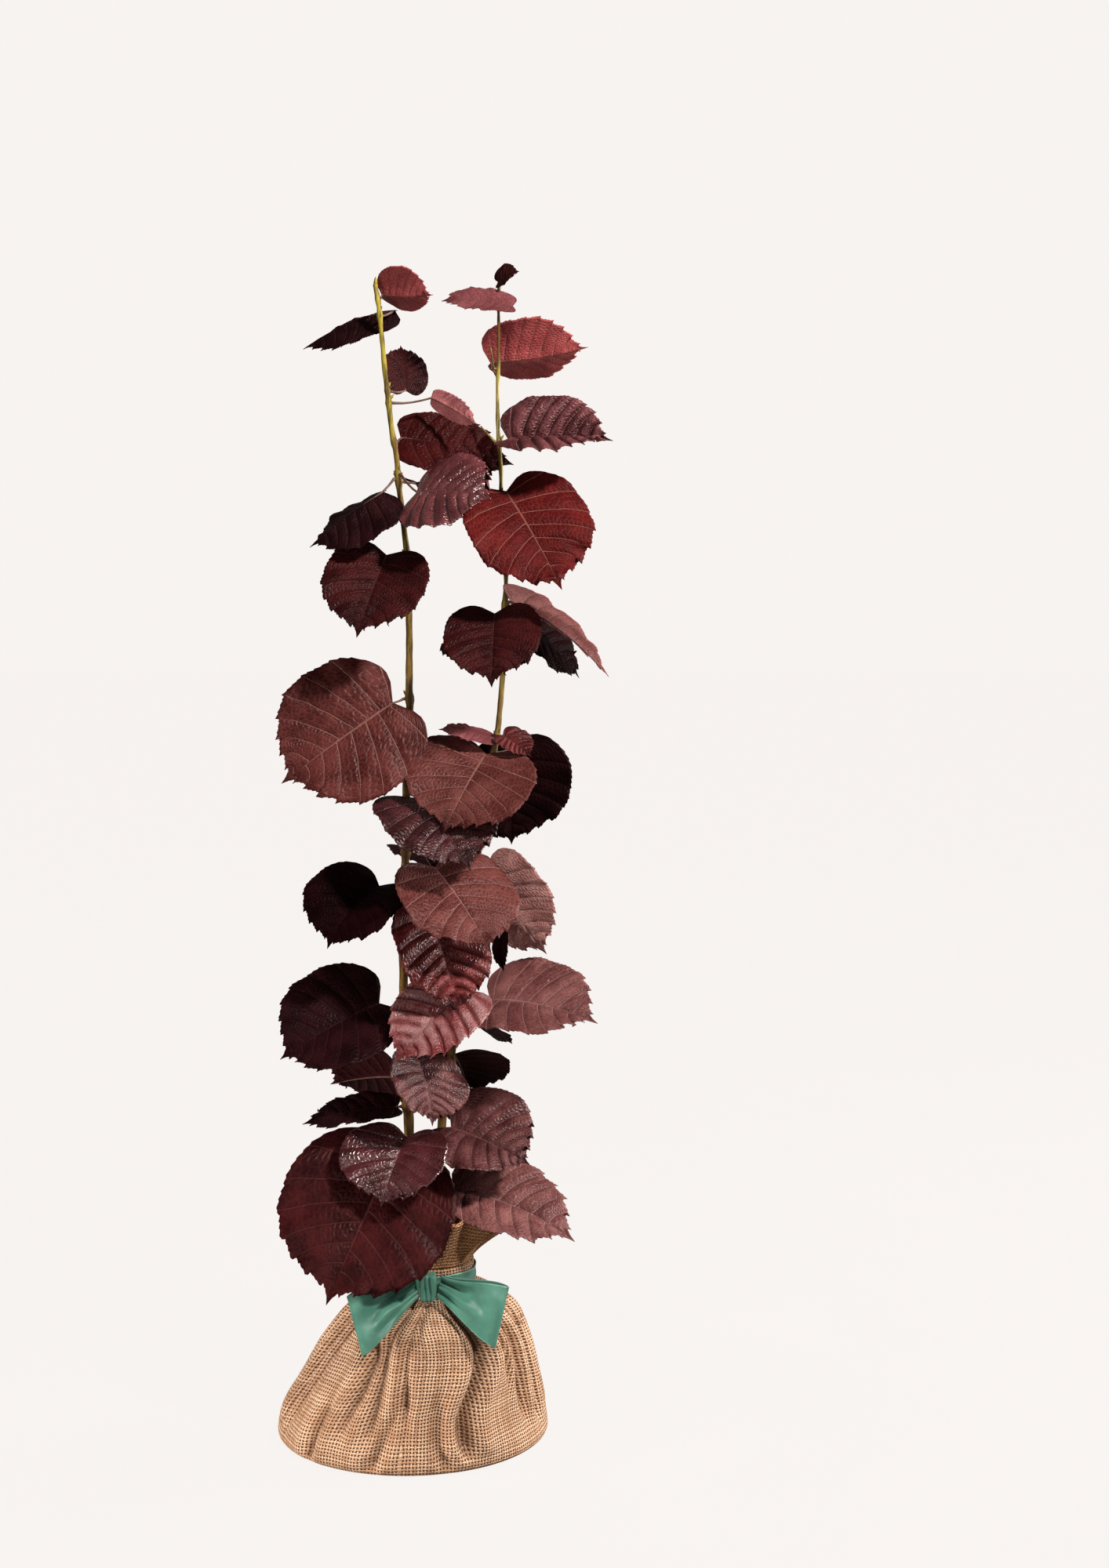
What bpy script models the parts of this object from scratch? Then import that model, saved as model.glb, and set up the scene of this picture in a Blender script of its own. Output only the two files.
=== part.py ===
"""Purple-leaved hazel sapling, two stems on a root ball tied in hessian.

Metres, +Z up.  The origin is at the middle of the root ball's flat underside.
The plant's broad side faces -Y.  Each stem, each leaf with its stalk, and each
piece of the wrapping is an object of its own.
"""

import math
from collections import namedtuple

import bmesh
import bpy
from mathutils import Matrix, Vector, noise

# ---------------------------------------------------------------- driving sizes
MM = 0.001
CLEAR = 0.0003              # gap between pieces that touch
MERGE = 0.00001             # distance at which the corners of a sheet are welded

# Root ball in its hessian
BALL_TOP = 0.160            # flat top of the gathered neck
BALL_RADIUS = 0.1205        # widest, just above the ground
NECK_RADIUS = 0.035
NECK_FOOT = 0.134           # the neck is upright above this height
NECK_SHIFT = 0.020          # the neck stands off-centre, towards +X
BALL_DEPTH = 0.85           # the bag is a little shallower than it is wide
BALL_SIDES = 36
BALL_ROWS = 20
SHOULDER = 0.050            # height over which the round neck turns into the bag
BALL_LUMP = 0.006           # height of the soft lumps in the bag
LUMP_TURNS = 1.8            # how many lumps round the bag
LUMP_RISE = 14.0            # how many lumps in a metre of its height
LUMP_FADE = 0.030           # they die out this near its foot and its neck

# Gathered hem of the hessian above the tie
RUFF_HEIGHT = 0.036
RUFF_RISE_FRONT = 0.011     # its edge stands this much higher at the front, lower behind
RUFF_RISE_LEFT = 0.008      # and this much higher at -X, lower at +X
RUFF_FLARE = 0.019          # how far the hem spreads beyond the neck
RUFF_SHIFT = 0.015          # the hem leans towards +X
RUFF_THICKNESS = 0.0018
RUFF_ROWS = 6
RUFF_FOLDS = 9
RUFF_FOLD_DEPTH = 0.005
RUFF_INSET = 0.002          # its foot stands this far inside the neck's edge
RUFF_OPENING = 1.4          # over 1, it spreads faster towards its edge
RUFF_UNEVEN = 1.3           # how unevenly the folds are spaced, in radians
RUFF_WAVE = 0.002           # rise and fall of its edge
RUFF_LIFT = 0.0008          # from the neck to the middle of the hem's tilted lower edge

# Ribbon
BAND_HEIGHT = 0.013
BAND_THICKNESS = 0.0016
BAND_TOP = 0.155
FLAT_ROOM = 0.0002
KNOT_SIZE = Vector((0.015, 0.015, 0.023))
KNOT_PLACE = Vector((0.017, -0.0449, 0.149))
KNOT_ROUNDING = 0.004
RIBBON_WIDTH = 0.052
RIBBON_THICKNESS = 0.0012
RIBBON_GATHERED = 0.019     # its width where it enters the knot
LOOP_LENGTH = 0.068
LOOP_PUFF = 0.020           # how far its two faces stand apart
LOOP_PINCH = 0.7            # how sharply they close towards the knot
LOOP_SEGMENTS = 18
LOOP_START = math.radians(28)   # turn at which the ribbon leaves the knot
LOOP_GAP = 0.0031           # from the knot's side to the middle of a loop's root

# (name, side of the knot, direction it points, direction across the ribbon)
LOOPS = (
    ("bow_loop_left", -1, (-56, -36, -26), (-15, 20, 46)),
    ("bow_loop_right", 1, (66, -36, -20), (11, 20, 46)))

# Stems
STEM_STEP = 0.018           # height of one ring of a stem
STEM_FLARE = 1.3            # foot radius over the radius above the flare
FLARE_HEIGHT = 0.030

# Leaves
LEAF_THICKNESS = 0.0015
STALK_RADIUS = 0.0012       # at the stem; it thins towards the blade
STALK_END = 0.12            # the stalk runs on under the blade to this share of it
STALK_TAPER = (1.0, 0.95, 0.9, 0.3)
COLLAR = 0.002              # a stalk's first stretch, square to the stem
LEAF_ROWS = 8
LEAF_COLUMNS = 4
ROW_CROWDING = 1.3          # rows crowd towards the base by this power
LEAF_CENTRE = 0.38          # centre of the outline, as a share of the length
LEAF_OVAL = 0.53            # half the length of the oval that the outline follows
OVAL_POWER = 2.3            # 2 is an ellipse; more is squarer
LOBE_NOTCH = 0.15           # depth of the heart-shaped base
NOTCH_SPREAD = 0.30         # how far round the outline it spreads, in radians
TIP_CUSP = 0.09             # how far the pointed tip stands out of the oval
CUSP_SPREAD = 0.12          # how far round the outline that spreads, in radians
EDGE_PACE = 0.65            # under 1, the rows end closer together at the tip
VEIN_SWEEP = 1.5            # over 1, the rows run forward from midrib to edge
FOLD_EASE = 0.8             # how much of its fold a half loses towards its edge

Stem = namedtuple("Stem", "name foot_radius tip_radius route")

# A stem's route is (height, x, y), from the root ball to the tip bud.
STEMS = {
    "left": Stem("stem_left", 0.0050, 0.0018, (
        (0.160, 0.009, -0.005), (0.220, 0.000, -0.003), (0.300, -0.004, 0.000),
        (0.430, -0.006, 0.000), (0.560, -0.003, 0.000), (0.700, 0.001, 0.000),
        (0.785, -0.001, 0.000), (0.865, -0.010, 0.000), (0.925, -0.017, 0.000),
        (0.970, -0.021, 0.000), (1.013, -0.026, 0.000))),
    "right": Stem("stem_right", 0.0042, 0.0012, (
        (0.160, 0.025, 0.010), (0.215, 0.023, 0.012), (0.280, 0.027, 0.012),
        (0.338, 0.035, 0.012), (0.444, 0.050, 0.012), (0.570, 0.065, 0.012),
        (0.635, 0.077, 0.012), (0.760, 0.084, 0.012), (0.845, 0.080, 0.012),
        (0.960, 0.078, 0.012), (1.013, 0.079, 0.012))),
}

# One row for each leaf, with lengths in millimetres and angles in degrees.
# height: of the stalk's foot on the stem.  base: the blade's base, from the
# middle of the stem there.  reach: from that base to the tip.  roll: turn of the
# upper face about the reach.  droop: bend along the blade.  fold: how far its
# halves rise.
Leaf = namedtuple("Leaf", "name stem height base reach width roll droop fold")

LEAVES = [Leaf(*row) for row in (
    ("leaf_left_01", "left", 999, (3, 9, 6), (45, -9, -1), 54, 142, 25, -35),
    ("leaf_left_02", "left", 987, (12, 18, 7), (-80, 3, -33), 46, -35, 30, -35),
    ("leaf_left_03", "left", 923, (15, 17, 2), (-5, 10, 40), 42, 0, 20, 10),
    ("leaf_left_04", "left", 879, (5, 17, 6), (98, 22, -22), 60, 62, 30, 0),
    ("leaf_left_05", "left", 852, (18, -18, -16), (66, -45, -8), 84, 50, 40, 0),
    ("leaf_left_06", "left", 848, (-12, -13, -11), (-61, -17, -48), 80, -25, 15, -35),
    ("leaf_left_07", "left", 781, (-16, -16, 2), (-21, -55, -70), 88, -20, 25, 12),
    ("leaf_left_08", "left", 659, (-13, -10, -3), (-94, -25, -68), 126, -65, 15, 5),
    ("leaf_left_09", "left", 560, (8, -14, 14), (52, -60, -56), 104, 15, 35, 12),
    ("leaf_left_10", "left", 491, (-21, -8, 5), (-41, -45, -48), 92, -20, 60, 25),
    ("leaf_left_11", "left", 507, (28, -20, 7), (50, -45, -67), 114, 10, 20, 8),
    ("leaf_left_12", "left", 467, (21, -15, 9), (30, -35, -83), 92, 5, 20, 10),
    ("leaf_left_13", "left", 383, (-21, -8, 9), (-84, -28, -44), 110, -40, 25, 18),
    ("leaf_left_14", "left", 321, (-10, 8, 2), (-62, 35, -16), 85, 50, 20, 15),
    ("leaf_left_15", "left", 298, (-8, -4, 0), (-83, -10, -13), 50, -15, 20, 8),
    ("leaf_left_16", "left", 335, (13, -16, 8), (14, -35, -50), 80, -20, 30, 15),
    ("leaf_left_17", "left", 252, (-14, -14, 4), (-52, -62, -112), 152, -30, 12, 8),
    ("leaf_left_18", "left", 263, (0, -18, 12), (-19, -45, -49), 98, -5, 30, 20),
    ("leaf_left_19", "left", 913, (36, 15, 6), (40, -25, -25), 22, -75, 20, 15),
    ("leaf_right_01", "right", 1007, (0, -3, 9), (18, -8, 8), 22, 60, 40, 30),
    ("leaf_right_02", "right", 996, (13, -18, -2), (-61, 0, 4), 36, -38, 25, 10),
    ("leaf_right_03", "right", 938, (-7, 19, 12), (85, -14, 12), 72, 138, 20, -40),
    ("leaf_right_04", "right", 879, (8, -4, 3), (90, -20, -2), 74, 45, 15, 45),
    ("leaf_right_05", "right", 834, (5, -12, 4), (48, -35, -85), 110, 35, 20, 8),
    ("leaf_right_06", "right", 728, (-8, -14, 5), (-1, -55, -62), 84, 5, 25, 15),
    ("leaf_right_07", "right", 731, (9, 22, 2), (57, 21, -58), 76, 40, 20, 10),
    ("leaf_right_08", "right", 741, (5, -5, 3), (85, -30, -65), 78, -25, 30, 15),
    ("leaf_right_09", "right", 603, (-4, -14, 8), (-34, -60, -62), 112, -20, 25, 8),
    ("leaf_right_10", "right", 625, (6, -6, 2), (25, -12, -18), 32, 30, 20, 20),
    ("leaf_right_11", "right", 623, (-2, -5, 1), (-47, -15, 9), 30, -25, 15, 0),
    ("leaf_right_12", "right", 611, (14, 14, 3), (1, 30, -90), 110, 155, 15, 10),
    ("leaf_right_13", "right", 505, (8, 14, 2), (55, -10, -76), 82, 108, 20, -15),
    ("leaf_right_14", "right", 451, (31, -5, 5), (0, -5, -38), 22, 50, 15, 25),
    ("leaf_right_15", "right", 384, (28, -4, 8), (95, -40, -13), 96, 30, 35, 20),
    ("leaf_right_16", "right", 391, (8, -24, 14), (-60, -54, -53), 72, -35, 40, 10),
    ("leaf_right_17", "right", 336, (3, 10, 4), (10, 60, -50), 88, 0, 20, 10),
    ("leaf_right_18", "right", 270, (9, -12, 9), (71, -35, -25), 100, 30, 25, 30),
    ("leaf_right_19", "right", 207, (13, -6, 13), (109, -35, -36), 86, 26, 46, 20),
    ("leaf_right_20", "right", 379, (6, 8, 0), (31, 50, -31), 70, 40, 20, 15),
    ("leaf_back_01", "left", 846, (14, 12, 0), (38, 65, -26), 66, 10, 30, 12),
    ("leaf_back_02", "left", 768, (-9, 12, 2), (-40, 60, -31), 70, -10, 30, 12),
    ("leaf_back_03", "left", 635, (-12, 12, 0), (-60, 60, -36), 80, 0, 30, 12),
    ("leaf_back_04", "right", 823, (4, 14, 4), (23, 70, -32), 82, 10, 25, 12),
    ("leaf_back_05", "right", 718, (-12, 14, 0), (-26, 66, -31), 66, -15, 30, 12),
    ("leaf_back_06", "left", 524, (8, 16, 2), (12, 70, -30), 62, 0, 25, 12),
    ("leaf_back_07", "left", 461, (12, 14, 2), (28, 75, -55), 80, 10, 25, 12),
    ("leaf_back_08", "left", 376, (-7, 14, 0), (-55, 65, -35), 84, 0, 25, 12),
    ("leaf_back_09", "left", 242, (-7, 14, 0), (-53, 65, -75), 92, 0, 25, 12),
    ("leaf_back_10", "right", 299, (2, 14, 0), (11, 75, -49), 72, 10, 25, 12),
)]

# (name, height, reach from the middle of the stem), in millimetres
BARE_RADII = (0.0011, 0.0009, 0.0006)
BARE_STALKS = (("bare_stalk", 881, (-16, -2, 13)), ("side_bud", 943, (-6, -3, 18)))

COLOURS = {
    "bark": (0.150, 0.100, 0.050, 1.0),
    "leaf": (0.120, 0.028, 0.035, 1.0),
    "hessian": (0.420, 0.290, 0.170, 1.0),
    "ribbon": (0.060, 0.220, 0.150, 1.0),
}
ROUGHNESS = {"bark": 0.6, "leaf": 0.4, "hessian": 0.9, "ribbon": 0.45}


# ------------------------------------------------------------------ small tools
def smooth_step(value):
    """Ease from 0 to 1."""
    value = min(max(value, 0.0), 1.0)
    return value * value * (3.0 - 2.0 * value)


def through(points, where):
    """Value at `where` on a smooth curve through (position, value) points."""
    last = len(points) - 2
    index = 0
    while index < last and where > points[index + 1][0]:
        index += 1
    start, end = points[index], points[index + 1]
    before = points[max(index - 1, 0)]
    after = points[min(index + 2, len(points) - 1)]
    span = end[0] - start[0]
    share = (where - start[0]) / span
    slope_in = (end[1] - before[1]) / (end[0] - before[0]) * span
    slope_out = (after[1] - start[1]) / (after[0] - start[0]) * span
    square, cube = share * share, share ** 3
    return ((2 * cube - 3 * square + 1) * start[1] + (cube - 2 * square + share) * slope_in
            + (3 * square - 2 * cube) * end[1] + (cube - square) * slope_out)


def material(kind):
    """The Principled material of one kind of surface."""
    found = bpy.data.materials.get(kind)
    if found:
        return found
    made = bpy.data.materials.new(kind)
    made.use_nodes = True
    shader = made.node_tree.nodes["Principled BSDF"]
    shader.inputs["Base Color"].default_value = COLOURS[kind]
    shader.inputs["Roughness"].default_value = ROUGHNESS[kind]
    return made


def add_object(name, mesh, kind):
    """Put a mesh in the plant's collection, with its material and soft shading."""
    made = bpy.data.objects.new(name, mesh)
    bpy.data.collections["sapling"].objects.link(made)
    mesh.materials.clear()
    mesh.materials.append(material(kind))
    mesh.shade_smooth()
    mesh.set_sharp_from_angle(angle=math.radians(45))
    return made


def sheet(name, kind, rows, columns, place, thickness=0.0):
    """A grid laid on place(row, column), each running 0 to 1, then thickened.

    Corners that fall together are welded, which closes seams and poles."""
    mesh = bpy.data.meshes.new(name)
    grid = bmesh.new()
    bmesh.ops.create_grid(grid, x_segments=rows, y_segments=columns, size=0.5)
    for corner in grid.verts:
        corner.co = place(corner.co.x + 0.5, corner.co.y + 0.5)
    bmesh.ops.remove_doubles(grid, verts=grid.verts, dist=MERGE)
    if not thickness:
        bmesh.ops.recalc_face_normals(grid, faces=grid.faces)
    grid.to_mesh(mesh)
    grid.free()
    made = add_object(name, mesh, kind)
    if thickness:
        shell = made.modifiers.new("thickness", "SOLIDIFY")
        shell.thickness = thickness
        shell.offset = 0.0
        settle(made)
    return made


def settle(made):
    """Swap an object's mesh for its evaluated one and drop its modifiers."""
    graph = bpy.context.evaluated_depsgraph_get()
    mesh = bpy.data.meshes.new_from_object(made.evaluated_get(graph))
    made.modifiers.clear()
    made.data = mesh


def tube(name, kind, points, radii, roundness):
    """A closed tapering tube along the points, as a mesh."""
    curve = bpy.data.curves.new(name, "CURVE")
    curve.dimensions = "3D"
    curve.bevel_depth = 1.0
    curve.bevel_resolution = roundness
    curve.use_fill_caps = True
    line = curve.splines.new("POLY")
    line.points.add(len(points) - 1)
    for spot, point, radius in zip(line.points, points, radii):
        spot.co = (*point, 1.0)
        spot.radius = radius
    guide = bpy.data.objects.new(name, curve)
    bpy.context.scene.collection.objects.link(guide)
    graph = bpy.context.evaluated_depsgraph_get()
    mesh = bpy.data.meshes.new_from_object(guide.evaluated_get(graph))
    bpy.data.objects.remove(guide)
    body = bmesh.new()
    body.from_mesh(mesh)
    bmesh.ops.remove_doubles(body, verts=body.verts, dist=MERGE)
    body.to_mesh(mesh)
    body.free()
    return add_object(name, mesh, kind)


def join(made, extra):
    """Fuse the extra object into the first with a Boolean union."""
    union = made.modifiers.new("union", "BOOLEAN")
    union.operation = "UNION"
    union.object = extra
    settle(made)
    bpy.data.objects.remove(extra)


# ------------------------------------------------------------------------ stems
def stem_centre(stem, height):
    """Centre of a stem at a height."""
    x = through([(z, x) for z, x, _ in stem.route], height)
    y = through([(z, y) for z, _, y in stem.route], height)
    return Vector((x, y, height))


def stem_radius(stem, height):
    """Radius of a stem at a height: a steady taper over a flared foot."""
    foot, tip = stem.route[0][0], stem.route[-1][0]
    share = (height - foot) / (tip - foot)
    radius = stem.foot_radius + (stem.tip_radius - stem.foot_radius) * share
    flare = 1.0 - smooth_step((height - foot) / FLARE_HEIGHT)
    return radius * (1.0 + (STEM_FLARE - 1.0) * flare)


def build_stem(stem):
    """One stem, cut flat where it stands on the root ball."""
    foot, tip = stem.route[0][0] + CLEAR, stem.route[-1][0]
    rings = round((tip - foot) / STEM_STEP)
    heights = [foot + (tip - foot) * ring / rings for ring in range(rings + 1)]
    points = [stem_centre(stem, height) for height in heights]
    points[1].xy = points[0].xy
    radii = [stem_radius(stem, height) for height in heights]
    tube(stem.name, "bark", points, radii, 2)


# ----------------------------------------------------------------------- leaves
def leaf_length(leaf):
    """Length along the drooping blade whose straight reach is given."""
    droop = math.radians(leaf.droop)
    return Vector(leaf.reach).length * MM * (droop / 2) / math.sin(droop / 2)


def leaf_edge(leaf, angle):
    """Point of the flat outline; angle 0 is the base, pi the tip."""
    length = leaf_length(leaf)
    half_length, half_width = length * LEAF_OVAL, leaf.width * MM / 2
    reach = (abs(math.cos(angle) / half_length) ** OVAL_POWER
             + abs(math.sin(angle) / half_width) ** OVAL_POWER) ** (-1 / OVAL_POWER)
    reach -= length * LOBE_NOTCH * math.exp(-(angle / NOTCH_SPREAD) ** 2)
    reach += length * TIP_CUSP * math.exp(-(math.pi - angle) / CUSP_SPREAD)
    return length * LEAF_CENTRE - reach * math.cos(angle), reach * math.sin(angle)


def leaf_flat(leaf, row, side):
    """Flat place on the blade: row follows the side veins, side is -1 to 1."""
    along, across = leaf_edge(leaf, math.pi * row ** EDGE_PACE)
    share = abs(side)
    middle = leaf_length(leaf) * row ** VEIN_SWEEP
    return middle + (along - middle) * share, across * side


def leaf_bend(leaf, along, across):
    """Bend the flat blade, base at 0, chord along X, upper face up."""
    length = leaf_length(leaf)
    share = along / length
    droop = math.radians(leaf.droop)
    radius = length / droop
    lean = droop * (0.5 - share)
    centre_x = radius * (math.sin(droop / 2) - math.sin(lean))
    centre_z = radius * (math.cos(lean) - math.cos(droop / 2))
    rise = math.radians(leaf.fold) * (1.0 - FOLD_EASE * abs(across) / (leaf.width * MM))
    lift = abs(across) * math.sin(rise)
    return Vector((centre_x - lift * math.sin(lean), across * math.cos(rise),
                   centre_z + lift * math.cos(lean)))


def leaf_frame(leaf):
    """Turn from the bent blade's own axes to the plant's."""
    along = Vector(leaf.reach).normalized()
    side = Vector((0.0, 0.0, 1.0)).cross(along).normalized()
    up = along.cross(side)
    frame = Matrix((along, side, up)).transposed()
    return frame @ Matrix.Rotation(math.radians(leaf.roll), 3, "X")


def collar(stem, height, reach):
    """Foot of a stalk, square to the stem and 0.3 mm clear, and its collar."""
    middle = stem_centre(stem, height)
    outward = reach.xy.normalized().to_3d()
    foot = middle + outward * (stem_radius(stem, height) + CLEAR)
    return middle, foot, foot + outward * COLLAR


def build_leaf(leaf):
    """One blade on its stalk, fused."""
    offset = Vector(leaf.base) * MM
    middle, foot, shoulder = collar(STEMS[leaf.stem], leaf.height * MM, offset)
    base = middle + offset
    frame = leaf_frame(leaf)

    def place(row, column):
        along, across = leaf_flat(leaf, row ** ROW_CROWDING, column * 2 - 1)
        return base + frame @ leaf_bend(leaf, along, across)

    # Rows crowd towards the base, where the outline turns round its lobes.
    blade = sheet(leaf.name, "leaf", LEAF_ROWS, LEAF_COLUMNS, place, LEAF_THICKNESS)
    end = base + frame @ leaf_bend(leaf, leaf_length(leaf) * STALK_END, 0.0)
    radii = [STALK_RADIUS * share for share in STALK_TAPER]
    stalk = tube(leaf.name + "_stalk", "leaf", (foot, shoulder, base, end), radii, 0)
    join(blade, stalk)


# ------------------------------------------------------------ root ball and tie
# Shares of the bag's rows at which its underside, side and neck end; the rest is
# the flat top of the neck.
UNDERSIDE_END, SIDE_END, NECK_END = 0.10, 0.80, 0.90

# The bag's side: (share of the way up it, radius, height)
BALL_SIDE = (
    (0.00, 0.106, 0.000), (0.11, 0.119, 0.004), (0.21, BALL_RADIUS, 0.012),
    (0.34, 0.1145, 0.030), (0.49, 0.1035, 0.055), (0.64, 0.0915, 0.085),
    (0.77, 0.074, 0.114), (0.90, 0.052, 0.129), (1.00, NECK_RADIUS, NECK_FOOT))


def ball_outline(row):
    """Radius and height of one row of the bag, before its lumps."""
    if row > NECK_END:
        return NECK_RADIUS * (1.0 - row) / (1.0 - NECK_END), BALL_TOP
    if row > SIDE_END:
        share = (row - SIDE_END) / (NECK_END - SIDE_END)
        return NECK_RADIUS, NECK_FOOT + (BALL_TOP - NECK_FOOT) * share
    if row > UNDERSIDE_END:
        share = (row - UNDERSIDE_END) / (SIDE_END - UNDERSIDE_END)
        radius = through([(place, r) for place, r, _ in BALL_SIDE], share)
        height = through([(place, z) for place, _, z in BALL_SIDE], share)
        return radius, max(height, 0.0)
    return BALL_SIDE[0][1] * row / UNDERSIDE_END, 0.0


def ball_point(row, column):
    """A place on the bag, row 0 under it and row 1 on top of its neck."""
    radius, height = ball_outline(row)
    turn = 2 * math.pi * column
    around = Vector((math.cos(turn), math.sin(turn), 0.0))
    soft = smooth_step(height / LUMP_FADE) * smooth_step((NECK_FOOT - height) / LUMP_FADE)
    lump = noise.noise(around * LUMP_TURNS + Vector((0.0, 0.0, height * LUMP_RISE)))
    radius += BALL_LUMP * lump * soft
    depth = 1.0 - (1.0 - BALL_DEPTH) * smooth_step((NECK_FOOT - height) / SHOULDER)
    shift = NECK_SHIFT * smooth_step(height / NECK_FOOT)
    return Vector((shift + radius * around.x, radius * around.y * depth, height))


def build_root_ball():
    sheet("root_ball", "hessian", BALL_ROWS, BALL_SIDES, ball_point)


def ruff_point(row, column):
    """A place on the gathered hem, row 0 at the neck and row 1 at its edge."""
    turn = 2 * math.pi * column
    around = Vector((math.cos(turn), math.sin(turn), 0.0))
    flare = row ** RUFF_OPENING
    fold = math.cos(RUFF_FOLDS * turn + RUFF_UNEVEN * math.sin(2 * turn))
    spread = (RUFF_FLARE + RUFF_FOLD_DEPTH * fold) * flare
    radius = NECK_RADIUS - RUFF_INSET + spread
    edge = (RUFF_WAVE * math.sin(5 * turn + 0.6) - RUFF_RISE_FRONT * around.y
            - RUFF_RISE_LEFT * around.x) * flare
    base = Vector((NECK_SHIFT + RUFF_SHIFT * flare, 0.0, BALL_TOP + RUFF_LIFT))
    return base + around * radius + Vector((0.0, 0.0, RUFF_HEIGHT * row + edge))


def build_ruff():
    sheet("hessian_ruff", "hessian", RUFF_ROWS, RUFF_FOLDS * 5, ruff_point, RUFF_THICKNESS)


def build_band():
    """The ribbon's turn round the neck."""
    # The neck is faceted, and so is the band, so its flats need a little more room.
    middle = NECK_RADIUS + CLEAR + BAND_THICKNESS / 2 + FLAT_ROOM

    def place(row, column):
        turn = 2 * math.pi * column
        height = BAND_TOP - BAND_HEIGHT * row
        return Vector((NECK_SHIFT + middle * math.cos(turn), middle * math.sin(turn), height))

    sheet("ribbon_band", "ribbon", 1, BALL_SIDES, place, BAND_THICKNESS)


def build_loop(name, side, reach, rise):
    """One loop of the bow: out from the knot, round its end, and back."""
    root = KNOT_PLACE + Vector((side * (KNOT_SIZE.x / 2 + LOOP_GAP), 0.0, 0.0))
    along = Vector(reach).normalized()
    across = Vector(rise).normalized()
    face = along.cross(across).normalized() * side
    start = (1 - math.cos(LOOP_START)) / 2

    def place(row, column):
        turn = LOOP_START + (2 * math.pi - 2 * LOOP_START) * row
        out = (1 - math.cos(turn)) / 2
        puff = LOOP_PUFF / 2 * math.sin(turn) * math.sin(turn / 2) ** LOOP_PINCH
        width = RIBBON_GATHERED + (RIBBON_WIDTH - RIBBON_GATHERED) * smooth_step(out)
        return (root + along * LOOP_LENGTH * (out - start) + face * puff
                + across * width * (column - 0.5))

    sheet(name, "ribbon", LOOP_SEGMENTS, 4, place, RIBBON_THICKNESS)


def build_bow():
    """The knot and its two loops, lying on the bag's shoulder."""
    for name, side, reach, rise in LOOPS:
        build_loop(name, side, reach, rise)
    mesh = bpy.data.meshes.new("bow_knot")
    knot = bmesh.new()
    bmesh.ops.create_cube(knot, size=1.0)
    bmesh.ops.scale(knot, vec=KNOT_SIZE, verts=knot.verts)
    bmesh.ops.translate(knot, vec=KNOT_PLACE, verts=knot.verts)
    bmesh.ops.bevel(knot, geom=knot.edges, offset=KNOT_ROUNDING, segments=2, profile=0.5,
                    affect="EDGES")
    knot.to_mesh(mesh)
    knot.free()
    add_object("bow_knot", mesh, "ribbon")


def build_bare_stalks():
    """Short stalks on the right stem whose leaves are gone."""
    stem = STEMS["right"]
    for name, height, reach in BARE_STALKS:
        offset = Vector(reach) * MM
        middle, foot, shoulder = collar(stem, height * MM, offset)
        tube(name, "bark", (foot, shoulder, middle + offset), BARE_RADII, 1)


def main():
    for old in list(bpy.data.objects):
        bpy.data.objects.remove(old)
    bpy.context.scene.collection.children.link(bpy.data.collections.new("sapling"))
    build_root_ball()
    build_ruff()
    build_band()
    build_bow()
    build_bare_stalks()
    for stem in STEMS.values():
        build_stem(stem)
    for leaf in LEAVES:
        build_leaf(leaf)


main()
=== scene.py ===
"""Purple-leaved hazel sapling on its wrapped root ball: the finished look.

Metres, +Z up.  The plant's broad side faces -Y.  Each leaf, stem and piece of the
wrapping takes the place of the CAD node that bears its name.
"""

import math
import random
from collections import namedtuple
from functools import partial

import bpy
import numpy as np
from mathutils import Matrix, Vector, noise


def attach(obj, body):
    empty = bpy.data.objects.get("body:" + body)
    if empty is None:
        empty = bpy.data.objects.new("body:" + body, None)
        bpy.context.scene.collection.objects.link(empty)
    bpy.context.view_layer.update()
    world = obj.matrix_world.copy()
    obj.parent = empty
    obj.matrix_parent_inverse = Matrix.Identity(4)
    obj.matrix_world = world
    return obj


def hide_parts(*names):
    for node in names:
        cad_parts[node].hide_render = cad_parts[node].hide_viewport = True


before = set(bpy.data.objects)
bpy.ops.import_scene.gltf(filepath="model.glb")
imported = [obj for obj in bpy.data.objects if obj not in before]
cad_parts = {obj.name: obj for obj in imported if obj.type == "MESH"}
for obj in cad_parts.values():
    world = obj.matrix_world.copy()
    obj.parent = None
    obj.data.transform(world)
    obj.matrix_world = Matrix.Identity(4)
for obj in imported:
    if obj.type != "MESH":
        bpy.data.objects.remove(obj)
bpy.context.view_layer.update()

MM = 0.001

# ------------------------ the plant's rule
CLEAR = 0.0003               # gap between pieces that touch
COLLAR = 0.002               # a stalk's first stretch, square to the stem
STEM_FLARE = 1.3             # foot radius over the radius above the flare
FLARE_HEIGHT = 0.030
LEAF_CENTRE = 0.38           # the outline is drawn round this share of the length
LEAF_OVAL = 0.53             # half the oval's length, as a share of the blade's
OVAL_POWER = 2.3
TIP_EASE = 0.38              # the oval is rounder than that towards the tip
LOBE_NOTCH = 0.15
NOTCH_SPREAD = 0.30
TIP_CUSP = 0.09
TIP_SLIM = 0.035             # the oval ends this much sooner, and the point is longer
CUSP_SPREAD = 0.055
EDGE_PACE = 0.65             # under 1, rows crowd towards the base along the edge
VEIN_SWEEP = 1.5             # over 1, they crowd towards it along the midrib
FOLD_EASE = 0.8

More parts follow.
